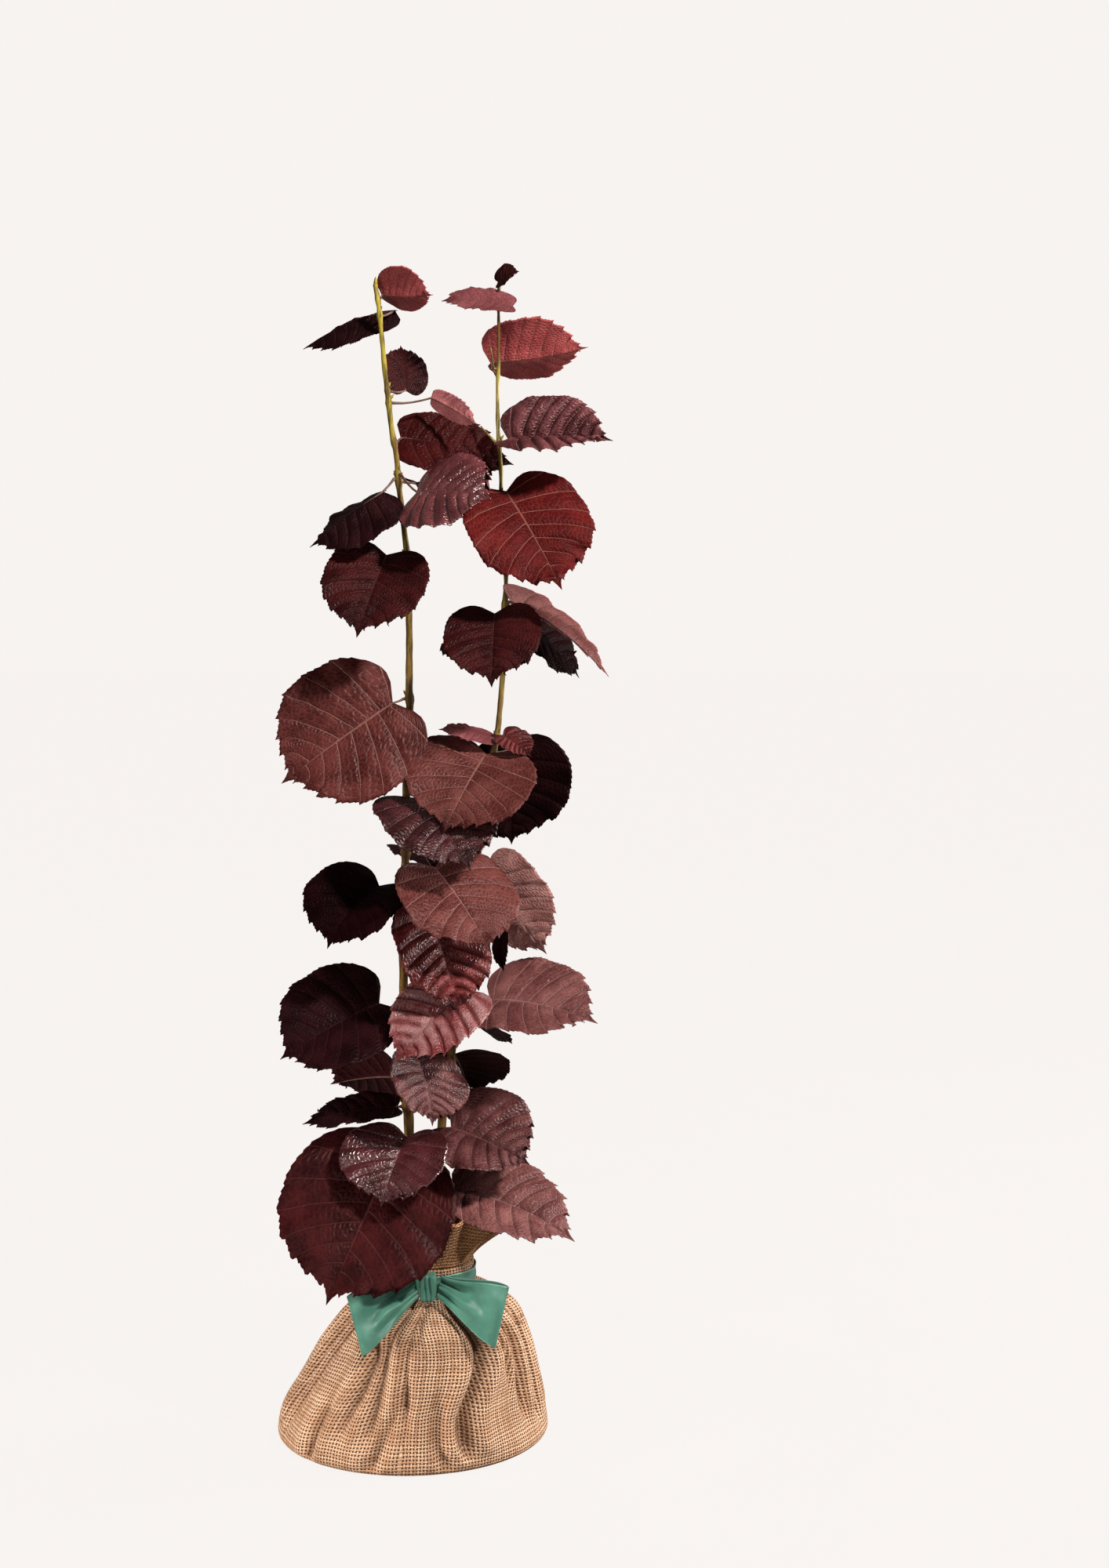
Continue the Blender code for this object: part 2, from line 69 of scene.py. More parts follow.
Stem = namedtuple("Stem", "name foot_radius tip_radius route")
STEMS = {
    "left": Stem("stem_left", 0.0050, 0.0018, (
        (0.160, 0.009, -0.005), (0.220, 0.000, -0.003), (0.300, -0.004, 0.000),
        (0.430, -0.006, 0.000), (0.560, -0.003, 0.000), (0.700, 0.001, 0.000),
        (0.785, -0.001, 0.000), (0.865, -0.010, 0.000), (0.925, -0.017, 0.000),
        (0.970, -0.021, 0.000), (1.013, -0.026, 0.000))),
    "right": Stem("stem_right", 0.0042, 0.0012, (
        (0.160, 0.025, 0.010), (0.215, 0.023, 0.012), (0.280, 0.027, 0.012),
        (0.338, 0.035, 0.012), (0.444, 0.050, 0.012), (0.570, 0.065, 0.012),
        (0.635, 0.077, 0.012), (0.760, 0.084, 0.012), (0.845, 0.080, 0.012),
        (0.960, 0.078, 0.012), (1.013, 0.079, 0.012))),
}

# height of the stalk's foot, base of the blade, reach to its tip, width: millimetres;
# roll, droop and fold: degrees.  finish names the leaf's colours, partly its own tone
# and partly painted shade on leaves in shadow and painted light on lit ones; pleat,
# ruffle and curl are the heights of its folds along the veins, along its edge and overall.
Leaf = namedtuple("Leaf", "name stem height base reach width roll droop fold "
                          "finish pleat ruffle curl")
# Each leaf's row leaves out its name; at the back it begins with its stem.
LEFT_LEAVES = (
    (999, (3, 9, 6), (45, -9, -1), 54, 142, 25, -35, "rose", 0.3, 1.0, 1.5),
    (987, (12, 18, 7), (-80, 3, -33), 46, -35, 30, -35, "dusk", 0.3, 1.2, 1.5),
    (923, (15, 17, 2), (-5, 10, 40), 42, 0, 20, 10, "wine", 0.3, 1.2, 1.8),
    (879, (5, 17, 6), (98, 22, -22), 60, 62, 30, 0, "claret", 0.6, 1.2, 2.0),
    (852, (18, -18, -16), (66, -45, -8), 84, 50, 40, 0, "satin", 1.3, 2.6, 3.5),
    (848, (-12, -13, -11), (-61, -17, -48), 80, -25, 15, -35, "dusk", 0.5, 1.8, 2.0),
    (781, (-16, -16, 2), (-21, -55, -70), 88, -20, 25, 12, "wine", 0.35, 2.4, 3.0),
    (659, (-13, -10, -3), (-94, -25, -68), 126, -65, 15, 5, "russet", 0.35, 3.0, 4.0),
    (560, (8, -14, 14), (52, -60, -56), 104, 15, 35, 12, "plum", 0.7, 2.6, 3.5),
    (491, (-21, -8, 5), (-41, -45, -48), 92, -20, 60, 25, "ink", 0.4, 2.2, 2.5),
    (507, (28, -20, 7), (50, -45, -67), 114, 10, 20, 8, "rosewood", 0.3, 2.5, 3.5),
    (467, (21, -15, 9), (30, -35, -83), 92, 5, 20, 10, "garnet", 2.2, 2.5, 2.5),
    (383, (-21, -8, 9), (-84, -28, -44), 110, -40, 25, 18, "dusk", 0.6, 2.5, 3.0),
    (321, (-10, 8, 2), (-62, 35, -16), 85, 50, 20, 15, "ink", 0.5, 2.0, 2.5),
    (298, (-8, -4, 0), (-83, -10, -13), 50, -15, 20, 8, "dusk", 0.5, 2.0, 2.0),
    (335, (13, -16, 8), (14, -35, -50), 80, -20, 30, 15, "heather", 0.8, 2.4, 2.5),
    (252, (-14, -14, 4), (-52, -62, -112), 152, -30, 12, 8, "wine", 0.35, 3.2, 4.0),
    (263, (0, -18, 12), (-19, -45, -49), 98, -5, 30, 20, "silk", 0.8, 2.8, 3.0),
    (913, (36, 15, 6), (40, -25, -25), 22, -75, 20, 15, "coral", 0.3, 0.8, 1.0),
)
RIGHT_LEAVES = (
    (1007, (0, -3, 9), (18, -8, 8), 22, 60, 40, 30, "wine", 0.4, 1.2, 2.0),
    (996, (13, -18, -2), (-61, 0, 4), 36, -38, 25, 10, "coral", 0.3, 1.6, 2.4),
    (938, (-7, 19, 12), (85, -14, 12), 72, 138, 20, -40, "rose", 0.3, 1.2, 1.5),
    (879, (8, -4, 3), (90, -20, -2), 74, 45, 15, 45, "cerise", 2.4, 1.5, 1.5),
    (834, (5, -12, 4), (48, -35, -85), 110, 35, 20, 8, "ruby", 0.45, 3.0, 3.5),
    (728, (-8, -14, 5), (-1, -55, -62), 84, 5, 25, 15, "wine", 0.4, 2.4, 2.5),
    (731, (9, 22, 2), (57, 21, -58), 76, 40, 20, 10, "ink", 0.5, 2.0, 2.5),
    (741, (5, -5, 3), (85, -30, -65), 78, -25, 30, 15, "salmon", 0.7, 1.8, 2.0),
    (603, (-4, -14, 8), (-34, -60, -62), 112, -20, 25, 8, "rosewood", 0.4, 2.6, 3.5),
    (625, (6, -6, 2), (25, -12, -18), 32, 30, 20, 20, "garnet", 1.6, 1.0, 1.0),
    (623, (-2, -5, 1), (-47, -15, 9), 30, -25, 15, 0, "coral", 0.3, 1.2, 1.2),
    (611, (14, 14, 3), (1, 30, -90), 110, 155, 15, 10, "ink", 0.5, 2.5, 3.0),
    (505, (8, 14, 2), (55, -10, -76), 82, 108, 20, -15, "smoke", 0.4, 2.2, 2.5),
    (451, (31, -5, 5), (0, -5, -38), 22, 50, 15, 25, "ink", 0.3, 0.8, 0.8),
    (384, (28, -4, 8), (95, -40, -13), 96, 30, 35, 20, "mauve", 0.6, 2.4, 2.5),
    (391, (8, -24, 14), (-60, -54, -53), 72, -35, 40, 10, "crimson", 2.2, 2.2, 2.2),
    (336, (3, 10, 4), (10, 60, -50), 88, 0, 20, 10, "ink", 0.5, 2.0, 2.0),
    (270, (9, -12, 9), (71, -35, -25), 100, 30, 25, 30, "heather", 1.0, 2.6, 2.8),
    (207, (13, -6, 13), (109, -35, -36), 86, 26, 46, 20, "mauve", 0.8, 2.5, 2.5),
    (379, (6, 8, 0), (31, 50, -31), 70, 40, 20, 15, "ink", 0.5, 1.8, 1.8),
)
BACK_LEAVES = (
    ("left", 846, (14, 12, 0), (38, 65, -26), 66, 10, 30, 12, "wine", 0.5, 1.8, 2.0),
    ("left", 768, (-9, 12, 2), (-40, 60, -31), 70, -10, 30, 12, "russet", 0.5, 1.8, 2.0),
    ("left", 635, (-12, 12, 0), (-60, 60, -36), 80, 0, 30, 12, "wine", 0.5, 2.0, 2.5),
    ("right", 823, (4, 14, 4), (23, 70, -32), 82, 10, 25, 12, "ruby", 0.6, 2.0, 2.0),
    ("right", 718, (-12, 14, 0), (-26, 66, -31), 66, -15, 30, 12, "wine", 0.5, 1.8, 2.0),
    ("left", 524, (8, 16, 2), (12, 70, -30), 62, 0, 25, 12, "dusk", 0.5, 1.8, 2.0),
    ("left", 461, (12, 14, 2), (28, 75, -55), 80, 10, 25, 12, "plum", 0.7, 2.0, 2.5),
    ("left", 376, (-7, 14, 0), (-55, 65, -35), 84, 0, 25, 12, "russet", 0.5, 2.0, 2.5),
    ("left", 242, (-7, 14, 0), (-53, 65, -75), 92, 0, 25, 12, "wine", 0.5, 2.2, 2.5),
    ("right", 299, (2, 14, 0), (11, 75, -49), 72, 10, 25, 12, "dusk", 0.5, 2.0, 2.0),
)
LEAVES = [Leaf(f"leaf_{stem}_{index:02d}", stem, *row)
          for stem, rows in (("left", LEFT_LEAVES), ("right", RIGHT_LEAVES))
          for index, row in enumerate(rows, 1)]
LEAVES += [Leaf(f"leaf_back_{index:02d}", *row) for index, row in enumerate(BACK_LEAVES, 1)]


def smooth_step(value):
    """Ease from 0 to 1; takes a number or an array."""
    value = np.clip(value, 0.0, 1.0)
    return value * value * (3.0 - 2.0 * value)


def through(points, where):
    """Value at `where` on a smooth curve through (position, value) points."""
    last = len(points) - 2
    index = 0
    while index < last and where > points[index + 1][0]:
        index += 1
    start, end = points[index], points[index + 1]
    before = points[max(index - 1, 0)]
    after = points[min(index + 2, len(points) - 1)]
    span = end[0] - start[0]
    share = (where - start[0]) / span
    slope_in = (end[1] - before[1]) / (end[0] - before[0]) * span
    slope_out = (after[1] - start[1]) / (after[0] - start[0]) * span
    square, cube = share * share, share ** 3
    return ((2 * cube - 3 * square + 1) * start[1] + (cube - 2 * square + share) * slope_in
            + (3 * square - 2 * cube) * end[1] + (cube - square) * slope_out)


def stem_centre(stem, height):
    x = through([(z, x) for z, x, _ in stem.route], height)
    y = through([(z, y) for z, _, y in stem.route], height)
    return Vector((x, y, height))


def stem_radius(stem, height):
    foot, tip = stem.route[0][0], stem.route[-1][0]
    share = (height - foot) / (tip - foot)
    radius = stem.foot_radius + (stem.tip_radius - stem.foot_radius) * share
    flare = 1.0 - float(smooth_step((height - foot) / FLARE_HEIGHT))
    return radius * (1.0 + (STEM_FLARE - 1.0) * flare)


def outward(offset):
    """Level direction of an offset from the stem."""
    return Vector((offset[0], offset[1], 0.0)).normalized()


def collar(stem, height, offset):
    """Middle of the stem, a stalk's foot just clear of it, and its collar's end."""
    middle = stem_centre(stem, height)
    foot = middle + outward(offset) * (stem_radius(stem, height) + CLEAR)
    return middle, foot, foot + outward(offset) * COLLAR


def leaf_length(leaf):
    """Length along the drooping blade whose straight reach is given."""
    droop = math.radians(leaf.droop)
    return Vector(leaf.reach).length * MM * (droop / 2) / math.sin(droop / 2)


def leaf_edge(leaf, angle):
    """Points of the flat outline; angle 0 is the base, pi the tip."""
    length = leaf_length(leaf)
    half_length = length * (LEAF_OVAL - TIP_SLIM * smooth_step((angle / np.pi - 0.5) * 2))
    half_width = leaf.width * MM / 2
    power = OVAL_POWER - TIP_EASE * smooth_step((angle / np.pi - 0.45) * 3)
    reach = (np.abs(np.cos(angle) / half_length) ** power
             + np.abs(np.sin(angle) / half_width) ** power) ** (-1 / power)
    reach = reach - length * LOBE_NOTCH * np.exp(-(angle / NOTCH_SPREAD) ** 2)
    reach = reach + length * (TIP_CUSP + TIP_SLIM) * np.exp(-(np.pi - angle) / CUSP_SPREAD)
    return length * LEAF_CENTRE - reach * np.cos(angle), reach * np.sin(angle)


def leaf_bend(leaf, along, across):
    """Bend the flat blade; returns an array of points."""
    length = leaf_length(leaf)
    droop = math.radians(leaf.droop)
    radius = length / droop
    lean = droop * (0.5 - along / length)
    centre_x = radius * (math.sin(droop / 2) - np.sin(lean))
    centre_z = radius * (np.cos(lean) - math.cos(droop / 2))
    rise = math.radians(leaf.fold) * (1.0 - FOLD_EASE * np.abs(across) / (leaf.width * MM))
    lift = np.abs(across) * np.sin(rise)
    return np.stack((centre_x - lift * np.sin(lean), across * np.cos(rise),
                     centre_z + lift * np.cos(lean)), axis=-1)


def leaf_frame(leaf):
    along = Vector(leaf.reach).normalized()
    side = Vector((0.0, 0.0, 1.0)).cross(along).normalized()
    turn = Matrix((along, side, along.cross(side))).transposed()
    return np.array(turn @ Matrix.Rotation(math.radians(leaf.roll), 3, "X"))


# ------------------------ modelling tools
def only(piece):
    """Make a piece the one selected, active object."""
    bpy.ops.object.select_all(action="DESELECT")
    piece.select_set(True)
    bpy.context.view_layer.objects.active = piece


def edit(piece, *steps):
    """Run edit-mode operators on the whole of a piece."""
    only(piece)
    bpy.ops.object.mode_set(mode="EDIT")
    bpy.ops.mesh.select_all(action="SELECT")
    for step in steps:
        step()
    bpy.ops.object.mode_set(mode="OBJECT")


def weld(piece):
    edit(piece, lambda: bpy.ops.mesh.remove_doubles(threshold=0.00001))


def thicken(piece, thickness, offset=0.0, second=0):
    """Give a sheet its thickness; `second` is its other face's step in material."""
    shell = piece.modifiers.new("thickness", "SOLIDIFY")
    shell.thickness = thickness
    shell.offset = offset
    shell.material_offset = second
    only(piece)
    bpy.ops.object.modifier_apply(modifier=shell.name)


def corner_vertices(mesh):
    """Index of the vertex at each corner of each face."""
    corners = np.empty(len(mesh.loops), dtype=int)
    mesh.loops.foreach_get("vertex_index", corners)
    return corners


def laid_grid(name, rows, columns, place):
    """A grid whose corners are laid on place(rows, columns), both arrays of whole numbers.

    place returns the points, and the map's two coordinates for each."""
    bpy.ops.mesh.primitive_grid_add(x_subdivisions=rows, y_subdivisions=columns, size=1.0)
    piece = bpy.context.object
    piece.name = piece.data.name = name
    mesh = piece.data
    flat = np.empty(len(mesh.vertices) * 3)
    mesh.vertices.foreach_get("co", flat)
    flat = flat.reshape(-1, 3)
    row = np.rint((flat[:, 0] + 0.5) * rows).astype(int)
    column = np.rint((flat[:, 1] + 0.5) * columns).astype(int)
    points, chart = place(row, column)
    mesh.vertices.foreach_set("co", np.ascontiguousarray(points, dtype=float).ravel())
    layer = mesh.uv_layers[0]
    layer.name = "chart"
    chart = np.ascontiguousarray(chart[corner_vertices(mesh)], dtype=float)
    layer.data.foreach_set("uv", chart.ravel())
    mesh.update()
    return piece


def picked(*arrays):
    """For laid_grid: points and chart from arrays of rows by columns."""
    return lambda row, column: [array[row, column] for array in arrays]


def rod(name, points, radii, roundness=1):
    """A round tapering rod through the points, closed at both ends."""
    curve = bpy.data.curves.new(name, "CURVE")
    curve.dimensions = "3D"
    curve.bevel_depth = 1.0
    curve.bevel_resolution = roundness
    curve.use_fill_caps = True
    line = curve.splines.new("POLY")
    line.points.add(len(points) - 1)
    for spot, point, radius in zip(line.points, points, radii):
        spot.co = (*point, 1.0)
        spot.radius = radius
    piece = bpy.data.objects.new(name, curve)
    bpy.context.scene.collection.objects.link(piece)
    only(piece)
    bpy.ops.object.convert(target="MESH")
    piece = bpy.context.object
    piece.data.name = name
    weld(piece)
    return piece


def join(piece, *others):
    """Join the others into a piece; each keeps its own material."""
    only(piece)
    for other in others:
        other.select_set(True)
    bpy.ops.object.join()


def finish_piece(piece, node, finish=None):
    """Shade a piece smooth, in its finish, and let it stand for a CAD node."""
    if finish:
        piece.data.materials.append(finish)
    only(piece)
    bpy.ops.object.shade_smooth()
    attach(piece, "root")
    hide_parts(node)


def wander(points, seed):
    """Soft noise, -1 to 1, at each of the points."""
    shift = Vector((seed * 7.3, seed * 3.1, seed * 5.7))
    return np.array([noise.noise(Vector(point) + shift) for point in points])


# ------------------------ shader tools
def put(tree, kind, values=None, **settings):
    """Add a shader node; values set its sockets, by a number, a colour or a link."""
    made = tree.nodes.new("ShaderNode" + kind)
    for name, value in settings.items():
        setattr(made, name, value)
    for socket, value in (values or {}).items():
        if isinstance(value, bpy.types.NodeSocket):
            tree.links.new(value, made.inputs[socket])
        else:
            made.inputs[socket].default_value = value
    return made


def tree_of(*values):
    """The node tree of the first socket among the values."""
    return next(value.id_data for value in values if isinstance(value, bpy.types.NodeSocket))


def maths(operation, *values):
    made = put(tree_of(*values), "Math", dict(enumerate(values)), operation=operation)
    return made.outputs[0]


times, plus, minus, affine = (
    partial(maths, kind) for kind in ("MULTIPLY", "ADD", "SUBTRACT", "MULTIPLY_ADD"))


def ramp(value, low, high, to_low=0.0, to_high=1.0, soft=True):
    """Map a value from low..high to to_low..to_high."""
    return put(tree_of(value), "MapRange", {0: value, 1: low, 2: high, 3: to_low, 4: to_high},
               interpolation_type="SMOOTHSTEP" if soft else "LINEAR").outputs[0]


def blend(share, first, second, mode="MIX"):
    """Mix two colours."""
    return put(tree_of(share, first, second), "Mix", {0: share, 6: first, 7: second},
               data_type="RGBA", blend_type=mode).outputs[2]


def specks(tree, scale, detail=2.0, roughness=0.5, stretch=None):
    """Noise on the plant's own coordinates."""
    where = put(tree, "TexCoord").outputs["Object"]
    if stretch:
        where = put(tree, "Mapping", {"Vector": where, "Scale": stretch}).outputs[0]
    return put(tree, "TexNoise", {"Vector": where, "Scale": scale, "Detail": detail,
                                  "Roughness": roughness}).outputs[0]


def chart_of(tree, name="chart"):
    return put(tree, "UVMap", uv_map=name).outputs[0]


def split(vector):
    return put(tree_of(vector), "SeparateXYZ", {0: vector}).outputs


def grey(value):
    return put(tree_of(value), "CombineXYZ", {0: value, 1: value, 2: value}).outputs[0]


def new_group(name, colours, numbers):
    """A node group with those inputs, and outputs for colour, roughness and height."""
    group = bpy.data.node_groups.new(name, "ShaderNodeTree")
    for way, kind, sockets in (("INPUT", "Color", colours), ("INPUT", "Float", numbers),
                               ("OUTPUT", "Color", "colour"),
                               ("OUTPUT", "Float", "roughness height")):
        for socket in sockets.split():
            group.interface.new_socket(socket, in_out=way, socket_type="NodeSocket" + kind)
    return group, group.nodes.new("NodeGroupInput").outputs


def close_group(group, *results):
    """Link colour, roughness and height to the group's outputs."""
    for value, socket in zip(results, group.nodes.new("NodeGroupOutput").inputs):
        group.links.new(value, socket)
    return group


def rgb(red, green, blue):
    return (red, green, blue, 1.0)


def new_material(name, **constants):
    """A material and its Principled shader, whose constants are set on its sockets."""
    made = bpy.data.materials.new(name)
    made.use_nodes = True
    shader = made.node_tree.nodes["Principled BSDF"]
    for socket, value in constants.items():
        socket = socket.replace("_", " ").title().replace("Ior", "IOR")
        shader.inputs[socket].default_value = value
    return made, shader


def dress(shader, colour, roughness, height, strength, distance, invert=False):
    """Link a pattern to a shader; strength and distance are its bump's."""
    tree = shader.id_data
    made = put(tree, "Bump", {"Height": height, "Strength": strength, "Distance": distance},
               invert=invert)
    for socket, value in (("Base Color", colour), ("Roughness", roughness),
                          ("Normal", made.outputs[0])):
        tree.links.new(value, shader.inputs[socket])


def group_material(name, group, values, strength, distance, invert=False, **constants):
    """A material whose pattern is a node group's."""
    made, shader = new_material(name, **constants)
    parts = put(made.node_tree, "Group", values, node_tree=group).outputs[:]
    dress(shader, *parts, strength, distance, invert)
    return made


# ------------------------ leaf materials
VEINS = 7            # pairs of side veins
BEATS = VEINS + 1    # the chart's first coordinate runs over this many spans


def blade_group():
    """Veins, net and mottling of a blade, on its chart."""
    group, given = new_group("blade pattern", "tint deep_tint vein_tint",
                             "vein_strength net_strength gloss vein_shade")
    along, across = split(chart_of(group))[:2]
    beat = times(along, float(BEATS))
    side = maths("ABSOLUTE", affine(across, 2.0, -1.0))
    wobble = affine(specks(group, 90.0), 0.10, -0.05)
    off_vein = maths("FRACT", plus(beat, wobble))
    off_vein = maths("ABSOLUTE", minus(off_vein, 0.5))
    thin = ramp(side, 0.0, 1.0, 0.050, 0.022, False)
    side_vein = ramp(maths("DIVIDE", off_vein, thin), 0.3, 1.0, 1.0, 0.0)
    veins = maths("MAXIMUM", side_vein, ramp(side, 0.006, 0.026, 0.75, 0.0))
    cells = put(group, "CombineXYZ", {0: times(beat, 3.3), 1: times(across, 30.0)}).outputs[0]
    net_far = put(group, "TexVoronoi", {"Vector": cells, "Scale": 1.0, "Randomness": 0.85},
                  voronoi_dimensions="2D", feature="DISTANCE_TO_EDGE").outputs["Distance"]
    net = ramp(net_far, 0.0, 0.10, 1.0, 0.0)
    mottle = ramp(specks(group, 38.0, 5.0, 0.6), 0.36, 0.66)
    fine = specks(group, 520.0, 3.0, 0.6)
    # painted shade: the valleys beside the side veins darken towards the deep tint
    beside = times(ramp(off_vein, 0.03, 0.30, 1.0, 0.0), ramp(side, 0.04, 0.25))
    colour = blend(mottle, given["deep_tint"], given["tint"])
    for share, strength, tint in ((beside, "vein_shade", "deep_tint"),
                                  (net, "net_strength", "vein_tint"),
                                  (veins, "vein_strength", "vein_tint")):
        colour = blend(times(share, given[strength]), colour, given[tint])
    shade = grey(ramp(fine, 0.25, 0.75, 0.78, 1.18))
    rough = affine(fine, 0.22, minus(given["gloss"], 0.11))
    pillow = ramp(net_far, 0.0, 0.38, 0.0, 0.50)
    height = affine(fine, 0.22, affine(veins, -0.9, pillow))
    return close_group(group, blend(1.0, colour, shade, "MULTIPLY"),
                       affine(mottle, 0.10, rough), height)


# Tint, deep tint and vein tint in thousandths; strength of the veins and of their net,
# roughness, specular level, painted shade in the valleys beside the side veins; for the
# upper face, the finish of the lower one.
# the darkest finishes partly paint shade on leaves that lie in shadow, and the palest partly
# paint light on lit leaves, over the leaves' own purple to red
UPPER = {
    "ink": ((10, 1.5, 2), (4, 0.6, 1), (30, 7, 8), 0.4, 0.08, 0.46, 0.03, 0.15, "dark"),
    "dusk": ((18, 3, 4), (7, 1, 1.5), (60, 19, 20), 0.5, 0.1, 0.43, 0.07, 0.15, "dark"),
    "wine": ((44, 5.5, 5.5), (18, 2, 2.5), (105, 34, 32), 0.5, 0.12, 0.4, 0.1, 0.15, "dark"),
    "garnet": ((160, 22, 22), (46, 3, 3), (240, 75, 68), 0.3, 0.16, 0.34, 0.3, 0.7, "dark"),
    "crimson": ((290, 135, 132), (150, 16, 17), (400, 190, 185), 0.3, 0.24, 0.32,
                0.6, 0.9, "dark"),
    "cerise": ((200, 54, 58), (52, 8, 10), (400, 200, 200), 0.4, 0.2, 0.36, 0.3, 0.8, "rose"),
    "claret": ((48, 4, 4), (22, 1.5, 1.5), (120, 34, 30), 0.45, 0.1, 0.34, 0.08, 0.15, "dark"),
    "russet": ((108, 21, 18), (46, 6, 5), (310, 150, 125), 0.62, 0.13, 0.38,
               0.15, 0.15, "rose"),
    "ruby": ((110, 8.5, 8), (60, 4, 4), (360, 140, 110), 0.62, 0.09, 0.42, 0.05, 0.15, "rose"),
    "plum": ((50, 9, 11), (18, 3, 3.5), (150, 64, 64), 0.5, 0.16, 0.33, 0.4, 0.4, "dark"),
    "silk": ((66, 11, 14), (28, 4, 5), (170, 60, 60), 0.5, 0.16, 0.25, 1.0, 0.15, "dark"),
    "satin": ((150, 30, 34), (56, 6, 8), (200, 80, 80), 0.4, 0.16, 0.25, 0.5, 0.15, "dark"),
    "heather": ((125, 39, 37), (40, 8, 9), (240, 105, 100), 0.5, 0.22, 0.34, 0.3, 0.5, "dark"),
    "rosewood": ((132, 34, 29), (70, 14, 12), (370, 180, 150), 0.6, 0.14, 0.38,
                 0.14, 0.25, "rose"),
    "mauve": ((205, 73, 67), (100, 27, 26), (360, 190, 180), 0.7, 0.22, 0.36,
              0.2, 0.35, "rose"),
    "smoke": ((430, 200, 178), (260, 100, 90), (500, 280, 250), 0.65, 0.24, 0.34,
              0.3, 0.15, "rose"),
    "rose": ((430, 85, 82), (280, 44, 46), (560, 220, 200), 0.6, 0.16, 0.44, 0.1, 0.15, "rose"),
    "coral": ((245, 66, 70), (150, 32, 36), (400, 180, 180), 0.6, 0.16, 0.44,
              0.1, 0.15, "coral"),
    "salmon": ((400, 130, 120), (280, 80, 75), (600, 320, 290), 0.7, 0.2, 0.44,
               0.1, 0.6, "salmon"),
}
# The lower face is duller, with paler raised veins.  The dark lower face is partly painted
# shade, and the bright coral and salmon ones partly painted light.
LOWER = {
    "dark": ((30, 5.5, 6.5), (15, 2.5, 3), (90, 32, 31), 0.6, 0.15, 0.6, 0.05, 0.15),
    "rose": ((300, 85, 80), (190, 46, 45), (400, 190, 170), 0.7, 0.2, 0.6, 0.1, 0.15),
    "coral": ((850, 270, 280), (600, 160, 168), (900, 450, 440), 0.7, 0.2, 0.6, 0.1, 0.15),
    "salmon": ((850, 350, 325), (640, 215, 200), (950, 640, 600), 0.8, 0.2, 0.52, 0.1, 0.6),
}
COATED = ("satin",)
SHINE_TINT = rgb(1.0, 0.82, 0.80)      # gloss takes a little of the leaf's red


def blade_material(group, name, lower):
    """The finish of that name, for the upper face or for the lower one."""
    *tints, veins, net, gloss, shine, shade = (LOWER[name] if lower else UPPER[name][:-1])
    tint, deep, vein = (rgb(*(part / 1000 for part in each)) for each in tints)
    values = dict(tint=tint, deep_tint=deep, vein_tint=vein, vein_strength=veins,
                  net_strength=net, gloss=gloss, vein_shade=shade)
    return group_material(
        name + (" underside" if lower else " blade"), group, values, 0.85, 0.0008, lower,
        specular_tint=SHINE_TINT, specular_ior_level=shine,
        coat_weight=float(name in COATED), coat_roughness=0.24)


def stalk_material():
    """Leaf stalks and midribs: hairy, red-brown to green."""
    made, shader = new_material("leaf stalk", sheen_weight=0.2, sheen_roughness=0.4)
    tree = made.node_tree
    grain = specks(tree, 160.0, 4.0, stretch=(1.0, 1.0, 0.4))
    fine = specks(tree, 900.0, 3.0)
    colour = blend(ramp(grain, 0.35, 0.65), rgb(0.085, 0.024, 0.018), rgb(0.150, 0.066, 0.040))
    dress(shader, colour, ramp(fine, 0.2, 0.8, 0.42, 0.70), fine, 0.6, 0.0003)
    return made


# ------------------------ leaves
STEPS = 12           # rows of a blade in each span between side veins
SIDES = (0.0, 0.03, 0.08, 0.15, 0.23, 0.32, 0.42, 0.52, 0.62, 0.72, 0.81, 0.89, 0.95, 1.0)
VEIN_PACE = 0.80             # under 1, side veins crowd towards the base
VEIN_ARCH = 0.020            # side veins bow this much, as a share of the length
LOBE_PEAK = 0.14             # an edge lobe falls off over this share of its span
LOBE_LEAST, LOBE_MORE = 0.005, 0.025    # its height at the base, and what the tip adds
TOOTH = (1.0, 0.0, 0.5)      # one tooth of the edge, from row to row
TOOTH_HEIGHT = 0.009         # as a share of the blade's length
TOOTH_LEAN = 0.7             # lobes and teeth lean this much towards the tip
BLADE_THICKNESS = 0.0005
FIRST_SEED = 100             # the first leaf's; each has its own
FULL_WIDTH = 80.0            # narrower leaves, in millimetres, have shallower relief
RIB_INSET = 0.0008           # the midrib's middle lies this far below the upper face
STALK_SAG = 0.05
STALK_RADII = (0.0015, 0.0014, 0.0011, 0.00095, 0.00095)
RIB_RADIUS, RIB_TAPER = 0.00105, 0.00080
BEAT_GRID = np.arange(BEATS * STEPS + 1) / STEPS
SIDE_GRID = np.array([-place for place in reversed(SIDES[1:])] + list(SIDES))


def toothed_edge(leaf, beat, side, pace, rng):
    """How far the edge's lobes and small teeth stand out."""
    past_vein = (pace + 0.5) % 1.0
    lobe = np.where(past_vein < LOBE_PEAK, 1.0 - past_vein / LOBE_PEAK,
                    np.clip((past_vein - LOBE_PEAK) / (1.0 - LOBE_PEAK), 0.0, 1.0) ** 1.6)
    lobe = lobe * (LOBE_LEAST + LOBE_MORE * smooth_step((beat - 1.0) / 4.5))
    count = np.rint(beat * STEPS).astype(int)
    uneven = np.array([rng.uniform(0.5, 1.3) for _ in range(2 * BEATS * STEPS)])
    tooth = np.array(TOOTH)[count % 3] * TOOTH_HEIGHT * uneven[(count // 3) * 2 + (side < 0)]
    far = np.abs(side)
    return (lobe * smooth_step((far - 0.72) / 0.28) + tooth * (far > 0.999)) * leaf_length(leaf)


